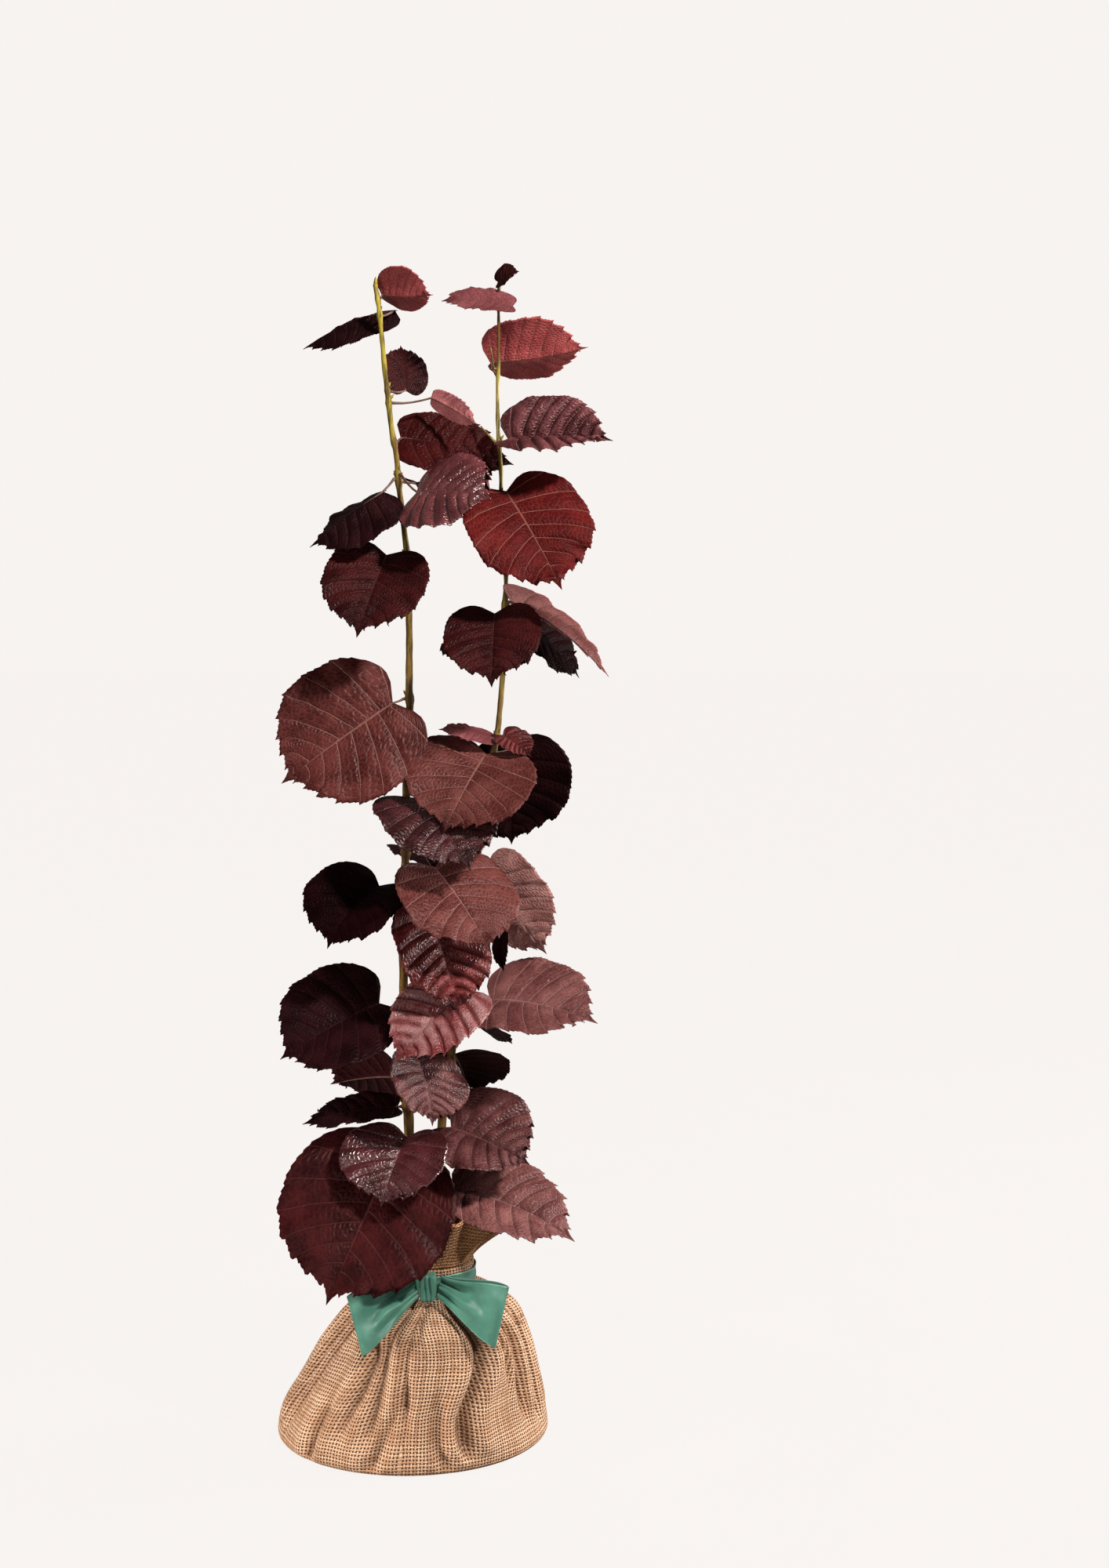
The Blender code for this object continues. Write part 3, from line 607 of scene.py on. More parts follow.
def relief(leaf, seed, beat, side, pace, rng):
    """Height of the folds along the veins, the ruffled edge and one slow curl."""
    far = np.abs(side)
    calm = smooth_step(beat / 1.2) * smooth_step((BEATS - beat) / 0.9)
    off_midrib = smooth_step(far / 0.20)
    pleat = (2.0 * np.abs(np.cos(np.pi * pace)) ** 0.7 - 1.0) * off_midrib
    pleat = pleat * (1.0 - 0.35 * far ** 3)
    crease = -np.exp(-((pace % 1.0 - 0.5) / 0.10) ** 2) * off_midrib * (1.0 - 0.6 * far ** 2)
    ruffle = far ** 3 * (np.sin(2 * np.pi * pace * rng.uniform(0.30, 0.42)
                                + rng.uniform(0, 6.3) + side * 1.3)
                         + 0.5 * np.sin(2 * np.pi * pace * rng.uniform(0.7, 0.95)
                                        + rng.uniform(0, 6.3) + side))

    def soft_noise(along, across, shift):
        spots = np.stack((beat * along, side * across, 0.0 * side), axis=-1).reshape(-1, 3)
        return wander(spots, seed + shift).reshape(side.shape)

    curl = soft_noise(1.7 / BEATS, 0.9, 0.0) * 2.0 * far
    quilt = soft_noise(2.2, 7.0, 0.5)
    groove = -0.5 * np.exp(-(far / 0.05) ** 2)
    size = min(1.0, leaf.width / FULL_WIDTH)
    return (leaf.pleat * pleat + 0.45 * size * crease + leaf.ruffle * 0.7 * ruffle
            + leaf.curl * curl + (0.35 + 0.3 * leaf.pleat) * size * quilt * off_midrib
            + size * groove) * calm * size ** 0.5 * MM


def blade_surface(leaf, seed):
    """Rows by columns of points on the upper face, the normals there, and the chart."""
    beat = BEAT_GRID[:, None] + 0.0 * SIDE_GRID[None, :]
    side = SIDE_GRID[None, :] + 0.0 * BEAT_GRID[:, None]
    far = np.abs(side)
    length = leaf_length(leaf)
    row = (beat / BEATS) ** VEIN_PACE
    along, across = leaf_edge(leaf, np.pi * row ** EDGE_PACE)
    middle = length * row ** VEIN_SWEEP

    rng = random.Random(seed)
    # the side veins of one half start a little ahead of the other's
    pace = beat + np.where(side < -0.001, rng.uniform(0.18, 0.42), 0.0)
    ends = smooth_step(beat / 0.8) * smooth_step((BEATS - beat) / 0.6)
    stand = toothed_edge(leaf, beat, side, pace, rng) * ends
    slope_x, slope_y = np.gradient(along, axis=0), np.gradient(across, axis=0)
    size = np.hypot(slope_x, slope_y) + 1e-9
    slope_x, slope_y = slope_x / size, slope_y / size
    along = along + stand * (slope_x * TOOTH_LEAN - slope_y)
    across = across + stand * (slope_x + slope_y * TOOTH_LEAN)

    arch = VEIN_ARCH * length * 4.0 * far * (1.0 - far) * ends
    points = leaf_bend(leaf, middle + (along - middle) * far - arch, across * side)
    normal = np.cross(np.gradient(points, axis=0), np.gradient(points, SIDE_GRID, axis=1))
    size = np.linalg.norm(normal, axis=-1, keepdims=True)
    normal = np.where(size > 1e-12, normal / np.maximum(size, 1e-12), [0.0, 0.0, 1.0])
    points = points + normal * relief(leaf, seed, beat, side, pace, rng)[..., None]
    return points, normal, np.stack((pace / BEATS, side / 2 + 0.5), axis=-1)


def build_leaf(leaf, seed, finishes, stalk_finish):
    """A pleated, toothed blade with its midrib and its stalk."""
    points, normal, chart = blade_surface(leaf, seed)
    middle, foot, shoulder = collar(STEMS[leaf.stem], leaf.height * MM, leaf.base)
    base = middle + Vector(leaf.base) * MM
    turn = leaf_frame(leaf)
    points = points @ turn.T + np.array(base)
    normal = normal @ turn.T
    blade = laid_grid(leaf.name, len(BEAT_GRID) - 1, len(SIDE_GRID) - 1,
                      picked(points, chart))
    weld(blade)
    for finish in finishes:
        blade.data.materials.append(finish)
    thicken(blade, BLADE_THICKNESS, -1.0, 1)

    centre = len(SIDE_GRID) // 2
    rib = [Vector(points[index, centre] - normal[index, centre] * RIB_INSET)
           for index in range(2, len(BEAT_GRID) - 3, 4)]
    bend = [shoulder.lerp(base, share) for share in (0.25, 0.5, 0.75)]
    sag = (base - shoulder).length * STALK_SAG
    for share, spot in zip((0.75, 1.0, 0.75), bend):
        spot.z -= sag * share
    taper = [RIB_RADIUS - RIB_TAPER * (index / (len(rib) - 1)) ** 0.8
             for index in range(len(rib))]
    midrib = rod(leaf.name + "_rib", [foot, shoulder, *bend, *rib], [*STALK_RADII, *taper])
    midrib.data.materials.append(stalk_finish)
    join(blade, midrib)
    finish_piece(blade, leaf.name)


# ------------------------ stems
RING_STEP = 0.0035           # height of one ring of a stem
NODE_SWELL, NODE_REACH = 0.42, 0.0035
KINK, KINK_REACH = 0.0008, 0.012        # a stem bends to and fro from node to node
RIDGES, KNOBS = 0.00030, 0.00050        # heights of the bark's relief
TIP_BUD = (0.0042, 0.0042, 0.0075)
BARE_STALKS = (("bare_stalk", 881, (-16, -2, 13)), ("side_bud", 943, (-6, -3, 18)))
BARE_RADII = (0.0013, 0.0011, 0.00095, 0.0009, 0.00085, 0.0008, 0.00085, 0.0007)


def bark_group():
    """Young hazel bark: green above, olive-brown below, with pale dots."""
    group, given = new_group("young bark", "young old", "turn_height")
    place = put(group, "TexCoord").outputs["Object"]
    drift = affine(specks(group, 22.0, 3.0), 0.5, -0.25)
    share = ramp(plus(split(place)[2], drift),
                 minus(given["turn_height"], 0.28),
                 plus(given["turn_height"], 0.30))
    streak = specks(group, 260.0, 4.0, 0.6, stretch=(1.0, 1.0, 0.10))
    colour = blend(share, given["old"], given["young"])
    dark = blend(0.80, colour, rgb(0.030, 0.014, 0.005))
    colour = blend(ramp(streak, 0.42, 0.57), colour, dark)
    patch = ramp(specks(group, 75.0, 3.0, 0.6, stretch=(1.0, 1.0, 0.35)), 0.47, 0.60)
    colour = blend(times(patch, 0.65), colour, rgb(0.130, 0.058, 0.016))
    tall = put(group, "Mapping", {"Vector": place, "Scale": (1.0, 1.0, 0.55)}).outputs[0]
    dots_far = put(group, "TexVoronoi", {"Vector": tall, "Scale": 260.0}).outputs[0]
    dots = times(ramp(dots_far, 0.12, 0.24, 1.0, 0.0),
                 ramp(specks(group, 70.0), 0.45, 0.6))
    colour = blend(times(dots, 0.45), colour, rgb(0.36, 0.25, 0.10))
    return close_group(group, colour, ramp(streak, 0.2, 0.8, 0.38, 0.66),
                       plus(streak, times(dots, 0.8)))


def bark_material(group, name, young, old, turn_height):
    values = dict(young=young, old=old, turn_height=turn_height)
    return group_material(name, group, values, 0.8, 0.0004, specular_ior_level=0.2)


def model_bud():
    """One pointed winter bud, 1 long, standing on the origin."""
    bpy.ops.mesh.primitive_uv_sphere_add(segments=10, ring_count=8, radius=0.5)
    bud = bpy.context.object
    for corner in bud.data.vertices:
        height = corner.co.z + 0.5
        scale = 1.0 + 0.10 * math.cos(5 * math.atan2(corner.co.y, corner.co.x) + 9 * height)
        scale *= 0.95 * (1.0 - height) ** 0.55 + 0.05
        corner.co = (corner.co.x * scale, corner.co.y * scale, height)
    return bud


def set_bud(bud, place, toward, size):
    """A copy of the bud with its own mesh, standing at place."""
    copy = bpy.data.objects.new("bud", bud.data.copy())
    bpy.context.scene.collection.objects.link(copy)
    turn = toward.to_track_quat("Z", "X").to_matrix().to_4x4()
    copy.data.transform(Matrix.Translation(place) @ turn @ Matrix.Diagonal((*size, 1.0)))
    return copy


def build_stem(stem, bud, finish, seed):
    """A knotty rod with a bud above each leaf's foot."""
    foot, tip = stem.route[0][0] + CLEAR, stem.route[-1][0]
    borne = [leaf for leaf in LEAVES if STEMS[leaf.stem] is stem]
    nodes = sorted(leaf.height * MM for leaf in borne)
    points, radii = [], []
    for height in [*np.arange(foot, tip, RING_STEP), tip]:
        swell = sum(math.exp(-((height - node) / NODE_REACH) ** 2) for node in nodes)
        kink = sum(math.tanh((height - node) / KINK_REACH) * (-1) ** index
                   for index, node in enumerate(nodes))
        centre = stem_centre(stem, height)
        centre.x += KINK * kink * float(smooth_step((height - foot) / FLARE_HEIGHT))
        points.append(centre)
        radii.append(stem_radius(stem, height) * (1.0 + NODE_SWELL * min(swell, 1.0)))
    piece = rod(stem.name, points, radii, 6)
    spots = [corner.co.copy() for corner in piece.data.vertices]
    ridges = wander([(s.x * 260, s.y * 260, s.z * 40) for s in spots], seed)
    knobs = wander([(s.x * 90, s.y * 90, s.z * 90) for s in spots], seed + 3)
    for corner, spot, ridge, knob in zip(piece.data.vertices, spots, ridges, knobs):
        away = spot - stem_centre(stem, spot.z)
        away.z = 0.0
        if away.length > 0.0002 and spot.z > foot + 0.0005:
            corner.co += away.normalized() * (RIDGES * ridge + KNOBS * knob)
    rng = random.Random(seed)
    buds = []
    for leaf in borne:
        height = leaf.height * MM + 0.003
        away = outward(leaf.base)
        place = stem_centre(stem, height) + away * stem_radius(stem, height) * 0.75
        toward = (away + Vector((0.0, 0.0, rng.uniform(1.0, 1.8)))).normalized()
        size = rng.uniform(0.0026, 0.0034)
        buds.append(set_bud(bud, place, toward, (size, size, size * 1.9)))
    tip_place = stem_centre(stem, tip - 0.001)
    join(piece, *buds, set_bud(bud, tip_place, Vector((0.05, -0.05, 1.0)), TIP_BUD))
    piece.data.materials.clear()
    finish_piece(piece, stem.name, finish)


def build_bare_stalks(finish):
    """Short stalks that have lost their leaves."""
    for name, height, reach in BARE_STALKS:
        middle, foot, shoulder = collar(STEMS["right"], height * MM, reach)
        end = middle + Vector(reach) * MM
        route = [foot, shoulder] + [shoulder.lerp(end, share / 6) for share in range(1, 7)]
        finish_piece(rod(name, route, BARE_RADII, 3), name, finish)


# ------------------------ hessian bag
BALL_TOP = 0.160
BALL_RADIUS = 0.1205
NECK_RADIUS = 0.035
NECK_FOOT = 0.134
NECK_SHIFT = 0.020           # the neck stands this far to the right of the ball's middle
BALL_DEPTH = 0.85            # front to back, as a share of the width
SHOULDER = 0.050             # height over which the neck turns round
BALL_LUMP = 0.006
LUMP_TURNS = 1.8
LUMP_RISE = 14.0
LUMP_FADE = 0.030
UNDERSIDE_END, SIDE_END, NECK_END = 0.10, 0.84, 0.93     # shares of the bag's rows
# (share of the side's rows, radius, height) up the bag's side
BALL_SIDE = (
    (0.00, 0.106, 0.000), (0.11, 0.119, 0.004), (0.21, BALL_RADIUS, 0.012),
    (0.34, 0.1145, 0.030), (0.49, 0.1035, 0.055), (0.64, 0.0915, 0.085),
    (0.77, 0.074, 0.114), (0.90, 0.052, 0.129), (1.00, NECK_RADIUS, NECK_FOOT))
BAG_ROWS, BAG_COLUMNS = 168, 396
THREADS_ROUND = 250
THREAD = 2 * math.pi * BALL_RADIUS / THREADS_ROUND       # from one thread to the next

# Gathers in the bag: (heights and turns of its valley in millimetres and degrees from
# its top to its foot, depth and width in millimetres).  270 degrees is the front.
GATHER_TOP = 134.0
FRONT_GATHERS = (
    (((134, 236), (112, 232), (90, 238), (68, 240), (40, 239)), 12.5, 6.0),
    (((134, 250), (108, 244), (80, 248), (36, 252)), 12.0, 6.5),
    (((134, 262), (105, 258), (75, 262), (40, 268)), 7.0, 4.0),
    (((134, 284), (112, 300), (95, 304), (70, 300), (45, 294), (18, 296)), 15.0, 6.5),
    (((134, 266), (122, 263), (110, 264)), 8.0, 4.0),
    (((134, 320), (118, 326), (90, 331), (38, 334)), 8.5, 5.0),
    (((134, 306), (105, 318), (80, 322), (70, 323)), 6.5, 4.0),
    (((54, 282), (28, 283), (8, 287)), 7.5, 6.0),
    (((48, 226), (26, 225), (6, 224)), 7.0, 6.0),
    (((56, 262), (30, 259), (8, 256)), 7.0, 6.0),
)
GATHER_FADE = 22.0           # a gather fades out over this much, in millimetres
FULL_GATHER = 0.09           # where the bag is narrower than this, so is a gather
BANK_HEIGHT, BANK_PLACE, BANK_WIDTH = 0.34, 2.4, 1.4     # banks beside each valley
DEEPEST, PROUDEST = -16.0, 4.0
SHADED = 9.0                 # valleys this deep, in millimetres, get the full painted shade
SEAM_TOP = 100.0             # the weave parts at the gathers that start above this
SEAM_FOOT = 45.0             # and reach lower than this
PANEL_EASE = 35.0            # and the threads crowd together below it, over this height


def gathers():
    """The front gathers, and others of the same kind round the sides and back."""
    rng = random.Random(11)
    made = list(FRONT_GATHERS)
    turn = -14.0
    while turn < 218.0:
        foot = rng.uniform(20, 43)
        drift = rng.uniform(-9, 9)
        middle = (GATHER_TOP + foot) / 2
        made.append((((GATHER_TOP, turn), (middle, turn + drift * 0.7), (foot, turn + drift)),
                     rng.uniform(6.0, 11.0), rng.uniform(4.0, 6.0)))
        turn += rng.uniform(13, 20)
    return made


GATHERS = gathers()


def gather_turn(line, height):
    """Turn of a gather's valley at a height in millimetres."""
    rising = [(-h, turn) for h, turn in line]
    return through(rising, min(max(-height, rising[0][0]), rising[-1][0]))


def ball_outline(row):
    """Radius and height at a share of the bag's rows, from the underside's middle."""
    if row > NECK_END:
        return NECK_RADIUS * (1.0 - row) / (1.0 - NECK_END), BALL_TOP
    if row > SIDE_END:
        share = (row - SIDE_END) / (NECK_END - SIDE_END)
        return NECK_RADIUS, NECK_FOOT + (BALL_TOP - NECK_FOOT) * share
    if row > UNDERSIDE_END:
        share = (row - UNDERSIDE_END) / (SIDE_END - UNDERSIDE_END)
        radius = through([(place, r) for place, r, _ in BALL_SIDE], share)
        height = through([(place, z) for place, _, z in BALL_SIDE], share)
        return radius, max(height, 0.0)
    return BALL_SIDE[0][1] * row / UNDERSIDE_END, 0.0


def threads_round(turns, radius, level):
    """Threads counted round the bag: each panel between two long gathers keeps its own."""
    seams = [line for line, _, _ in GATHERS
             if line[0][0] > SEAM_TOP and line[-1][0] < SEAM_FOOT]
    valleys = sorted([gather_turn(line, place) % 360.0 for place in (level, SEAM_FOOT - 10)]
                     for line in seams)
    valleys = np.array(valleys)
    here, low = np.concatenate((valleys[-1:] - 360.0, valleys, valleys[:1] + 360.0)).T
    panel = np.clip(np.searchsorted(here, turns, side="right") - 1, 0, len(here) - 2)
    centre = (here[panel] + here[panel + 1]) / 2
    low_centre = (low[panel] + low[panel + 1]) / 2
    reach = BALL_RADIUS + (radius - BALL_RADIUS) * smooth_step((level - SEAM_FOOT) / PANEL_EASE)
    return (np.radians(low_centre) * BALL_RADIUS + np.radians(turns - centre) * reach) / THREAD


def gather_push(turns, radius, level):
    """How far the gathers push the cloth out, in millimetres, round the bag at a level."""
    push = np.zeros(len(turns))
    narrow = min(1.0, radius / FULL_GATHER)
    for line, deep, wide in GATHERS:
        top, foot = line[0][0], line[-1][0]
        if not foot - GATHER_FADE <= level <= top + GATHER_FADE:
            continue
        away = (turns - gather_turn(line, level) + 180.0) % 360.0 - 180.0
        far = np.abs(np.radians(away)) * radius / MM / (wide * narrow)
        if foot > 25:
            room = smooth_step((level - foot + GATHER_FADE) / 40.0)
        else:
            room = smooth_step((level - foot + 8.0) / 16.0)
        if top < 120:
            room *= smooth_step((top + GATHER_FADE - level) / 34.0)
        valley = 1.0 / (1.0 + far ** 2) ** 1.3
        bank = np.exp(-((far - BANK_PLACE) / BANK_WIDTH) ** 2)
        push += deep * narrow * room * (BANK_HEIGHT * bank - valley)
    return push


def bag_surface():
    """Points on the bag, rows by columns, the chart in threads, and the painted shade at each.
    """
    points = np.zeros((BAG_ROWS + 1, BAG_COLUMNS + 1, 3))
    painted_shade = np.zeros(points.shape[:2])
    chart = np.zeros((*painted_shade.shape, 2))
    turns = np.linspace(0.0, 360.0, BAG_COLUMNS + 1)
    rise, last = 0.0, ball_outline(0.0)
    for index in range(BAG_ROWS + 1):
        radius, height = ball_outline(index / BAG_ROWS)
        rise += math.hypot(radius - last[0], height - last[1])
        last = (radius, height)
        level = min(height / MM, GATHER_TOP)
        below_neck = NECK_FOOT - height
        soft = smooth_step(height / LUMP_FADE) * smooth_step(below_neck / LUMP_FADE)
        depth = 1.0 - (1.0 - BALL_DEPTH) * smooth_step(below_neck / SHOULDER)
        shift = NECK_SHIFT * smooth_step(height / NECK_FOOT)
        push = np.zeros(BAG_COLUMNS + 1)
        if 0.0 < height < NECK_FOOT + 0.001:
            push = gather_push(turns, radius, level) * smooth_step(height / 0.010)
            push = np.clip(push * smooth_step((below_neck + 0.002) / 0.006), DEEPEST, PROUDEST)
        for column, turn in enumerate(np.radians(turns)):
            around = Vector((math.cos(turn), math.sin(turn), 0.0))
            lump = noise.noise(around * LUMP_TURNS + Vector((0.0, 0.0, height * LUMP_RISE)))
            full = radius + BALL_LUMP * lump * soft + push[column] * MM
            points[index, column] = (shift + full * around.x, full * around.y * depth, height)
        # painted shade: the gathers' deep valleys, and the neck round and above the ribbon, are
        # darkened
        tied = smooth_step(-below_neck / 0.006)
        painted_shade[index] = np.maximum(np.clip(-push / SHADED, 0.0, 1.0), tied)
        chart[index, :, 0] = threads_round(turns, radius, level)
        chart[index, :, 1] = rise / THREAD
    points[:, -1] = points[:, 0]
    return points, chart, painted_shade


def build_bag(finish):
    points, chart, painted_shade = bag_surface()
    bag = laid_grid("root_ball", BAG_ROWS, BAG_COLUMNS, picked(points, chart))
    corners = corner_vertices(bag.data)
    # the painted shade goes to the weave on a second map, folds
    folds = np.zeros((len(corners), 2))
    folds[:, 0] = painted_shade.T.ravel()[corners]        # the grid's vertices run up its rows
    bag.data.uv_layers.new(name="folds").data.foreach_set("uv", folds.ravel())
    weld(bag)
    edit(bag, lambda: bpy.ops.mesh.normals_make_consistent(inside=False))
    finish_piece(bag, "root_ball", finish)


# ------------------------ gathered hem
RUFF_HEIGHT = 0.036
RUFF_RISE_FRONT = 0.011
RUFF_RISE_LEFT = 0.0055
RUFF_FLARE = 0.019
RUFF_SHIFT = 0.019
RUFF_FOLDS = 9
RUFF_FOLD_DEPTH = 0.006
RUFF_CREASE = 0.0007
RUFF_INSET = 0.002
RUFF_OPENING = 1.4
RUFF_UNEVEN = 1.3
RUFF_WAVE = 0.002
RUFF_LIFT = 0.0008
RUFF_LEAN = 0.35             # the folds run slantwise, by this turn from foot to hem
RUFF_HEM = 0.0011            # the hem is turned in, at this radius
HEM_START = 0.92             # share of the rows at which the cloth is at full height
RUFF_THREADS = round(2 * math.pi * (NECK_RADIUS + RUFF_FLARE) * 1.35 / THREAD)
RUFF_CLOTH = 0.045           # length of the cloth from the tie to the hem


def neck_ring(node, finish, rows, columns, thickness, form):
    """A sheet round the neck.  form(turn, share) gives its radius and height, how far it
    is shifted to the right, and the map's two coordinates."""
    def place(row, column):
        turn = 2 * np.pi * column / columns
        radius, height, shift, *chart = form(turn, row / rows)
        points = (NECK_SHIFT + shift + radius * np.cos(turn), radius * np.sin(turn), height)
        return np.stack(points, axis=-1), np.stack(chart, axis=-1)

    ring = laid_grid(node, rows, columns, place)
    weld(ring)
    thicken(ring, thickness)
    finish_piece(ring, node, finish)


def build_ruff(finish):
    """The cloth's gathered hem above the tie."""
    def form(turn, share):
        flare = share ** RUFF_OPENING
        lean = turn + RUFF_LEAN * share
        fold = np.cos(RUFF_FOLDS * lean + RUFF_UNEVEN * np.sin(2 * lean))
        roll = np.pi * np.clip((share - 0.90) / 0.10, 0.0, 1.0)
        crease = (np.sin(23 * turn + 2.0 * np.sin(3 * turn) + 1.5 * share)
                  + 0.6 * np.sin(41 * turn + 1.4 * np.sin(5 * turn)))
        radius = (NECK_RADIUS - RUFF_INSET + RUFF_FLARE * flare
                  + RUFF_FOLD_DEPTH * (fold - 0.35 * fold ** 2) * (0.3 * share + 0.7 * flare)
                  + RUFF_CREASE * crease * smooth_step(share / 0.25)
                  - RUFF_HEM * (1 - np.cos(roll)))
        edge = (RUFF_WAVE * np.sin(5 * turn + 0.6) - RUFF_RISE_FRONT * np.sin(turn)
                - RUFF_RISE_LEFT * np.cos(turn)) * flare
        height = (BALL_TOP + RUFF_LIFT + RUFF_HEIGHT * np.minimum(share, HEM_START) / HEM_START
                  + edge + RUFF_HEM * np.sin(roll))
        return (radius, height, RUFF_SHIFT * flare, turn / (2 * np.pi) * RUFF_THREADS,
                share * RUFF_CLOTH / THREAD)

    neck_ring("hessian_ruff", finish, 30, 324, 0.0011, form)


def weave_group():
    """Plain weave of coarse threads, on a chart counted in threads, with painted shade from the
    folds map.
    """
    group, given = new_group("plain weave", "thread dull gap", "")
    chart = chart_of(group)
    drift = put(group, "TexNoise", {"Vector": chart, "Scale": 0.13, "Detail": 2.0})
    bent = put(group, "VectorMath", {0: drift.outputs["Color"], 1: (0.5, 0.5, 0.5)},
               operation="SUBTRACT").outputs[0]
    bent = put(group, "VectorMath", {0: bent, 1: (0.7, 0.9, 0.0), 2: chart},
               operation="MULTIPLY_ADD").outputs[0]
    across, up = split(bent)[:2]
    wave_u = maths("SINE", times(across, math.pi))
    wave_v = maths("SINE", times(up, math.pi))
    over = affine(times(wave_u, wave_v), 0.5, 0.5)
    under = minus(1.0, over)
    warp, weft = (times(maths("ABSOLUTE", wave), affine(way, 0.6, 0.4))
                  for wave, way in ((wave_u, over), (wave_v, under)))
    height = maths("MAXIMUM", warp, weft)
    # no two threads are of the same thickness and tint
    column, line = (put(group, "TexWhiteNoise", {"W": count}, noise_dimensions="1D")
                    .outputs["Value"]
                    for count in (maths("FLOOR", across), plus(maths("FLOOR", up), 71.0)))
    uneven = plus(column, line)
    patch = times(specks(group, 16.0, 3.0), 0.35)
    slack = plus(affine(uneven, 0.10, patch), 0.46)
    gap = ramp(height, 0.34, slack, 1.0, 0.0)
    fuzz = specks(group, 900.0, 3.0, 0.7)
    fibre = affine(uneven, 0.25, affine(fuzz, 0.6, -0.05))
    colour = blend(ramp(fibre, 0.2, 0.7), given["dull"], given["thread"])
    colour = blend(gap, colour, given["gap"])
    # painted shade: towards the gap tint in the gathers' valleys and on the neck
    painted_shade = ramp(split(chart_of(group, "folds"))[0], 0.05, 0.9)
    colour = blend(times(painted_shade, 0.50), colour, given["gap"])
    return close_group(group, colour, ramp(fuzz, 0.2, 0.8, 0.75, 0.95),
                       affine(fuzz, 0.3, height))


def hessian_material(group, name, thread, dull, gap):
    return group_material(name, group, dict(thread=thread, dull=dull, gap=gap), 1.0, 0.0013,
                          sheen_weight=0.04, sheen_roughness=0.6, specular_ior_level=0.12)


# ------------------------ ribbon
BAND_HEIGHT = 0.013
BAND_THICKNESS = 0.0016
BAND_TOP = 0.155
FLAT_ROOM = 0.0002
KNOT_SIZE = Vector((0.015, 0.015, 0.023))
KNOT_PLACE = Vector((0.017, -0.0449, 0.149))
# place across, width and strength of the knot's upright creases, and their depth
KNOT_CREASES = ((0.22, 0.13, 1.0), (-0.34, 0.11, 0.8))
KNOT_CREASE = 0.0022
RIBBON_WIDTH = 0.052
RIBBON_GATHERED = 0.019
LOOP_LENGTH = 0.068
LOOP_PUFF = 0.020
LOOP_PINCH = 0.7
LOOP_START = math.radians(28)
LOOP_GAP = 0.0031            # from the knot's side to the middle of a loop's root
LOOP_GAPE = 0.003            # the front layer stands off this much more at its top edge
LOOP_DROP = 0.003            # and lies this much lower, so that the loop's mouth shows
LOOP_CREASE = 0.0021
LOOP_CROWN = 0.0016
# Soft dents: depth in millimetres, then place and spread along and across the ribbon.
LOOP_DENTS = ((-3.6, 0.42, 0.16, 0.16, 0.13), (2.8, 0.52, 0.20, -0.12, 0.12),
              (-3.2, 0.74, 0.11, -0.02, 0.16), (2.2, 0.88, 0.10, 0.22, 0.14),
              (-2.2, 0.62, 0.14, -0.34, 0.10))
LOOPS = (
    ("bow_loop_left", -1, (-56, -36, -26), (-15, 20, 46)),
    ("bow_loop_right", 1, (66, -36, -20), (11, 20, 46)))


def ribbon_material():
    """Soft green satin ribbon with a fine cross rib, and a painted highlight along its edges."""
    made, shader = new_material("green ribbon", sheen_weight=0.2, sheen_roughness=0.35,
                                specular_ior_level=0.42)
    tree = made.node_tree
    along, across = split(chart_of(tree))[:2]
    cross = maths("SINE", times(along, 2 * math.pi * 1.6))
    edge = maths("ABSOLUTE", affine(across, 2.0, -1.0))
    colour = blend(ramp(specks(tree, 60.0, 3.0), 0.35, 0.65), rgb(0.046, 0.152, 0.108),
                   rgb(0.070, 0.205, 0.146))
    # painted highlight: a paler green along the ribbon's two edges
    colour = blend(times(ramp(edge, 0.955, 0.975), 0.45), colour,
                   rgb(0.20, 0.42, 0.32))
    fine = specks(tree, 700.0)
    dress(shader, colour, ramp(fine, 0.2, 0.8, 0.32, 0.45),
          affine(fine, 0.6, cross), 0.30, 0.00015)
    return made


def build_band(finish):
    """The ribbon's turn round the neck."""
    middle = NECK_RADIUS + CLEAR + BAND_THICKNESS / 2 + FLAT_ROOM

    def form(turn, share):
        crease = (0.35 * np.cos(3 * np.pi * share + 0.8 * np.sin(3 * turn))
                  + 0.15 * np.sin(13 * turn + 4 * share))
        height = BAND_TOP - BAND_HEIGHT * share + 0.0004 * np.sin(5 * turn)
        return middle + crease * MM, height, 0.0, turn * middle / MM, share

    neck_ring("ribbon_band", finish, 10, 216, BAND_THICKNESS / 2, form)


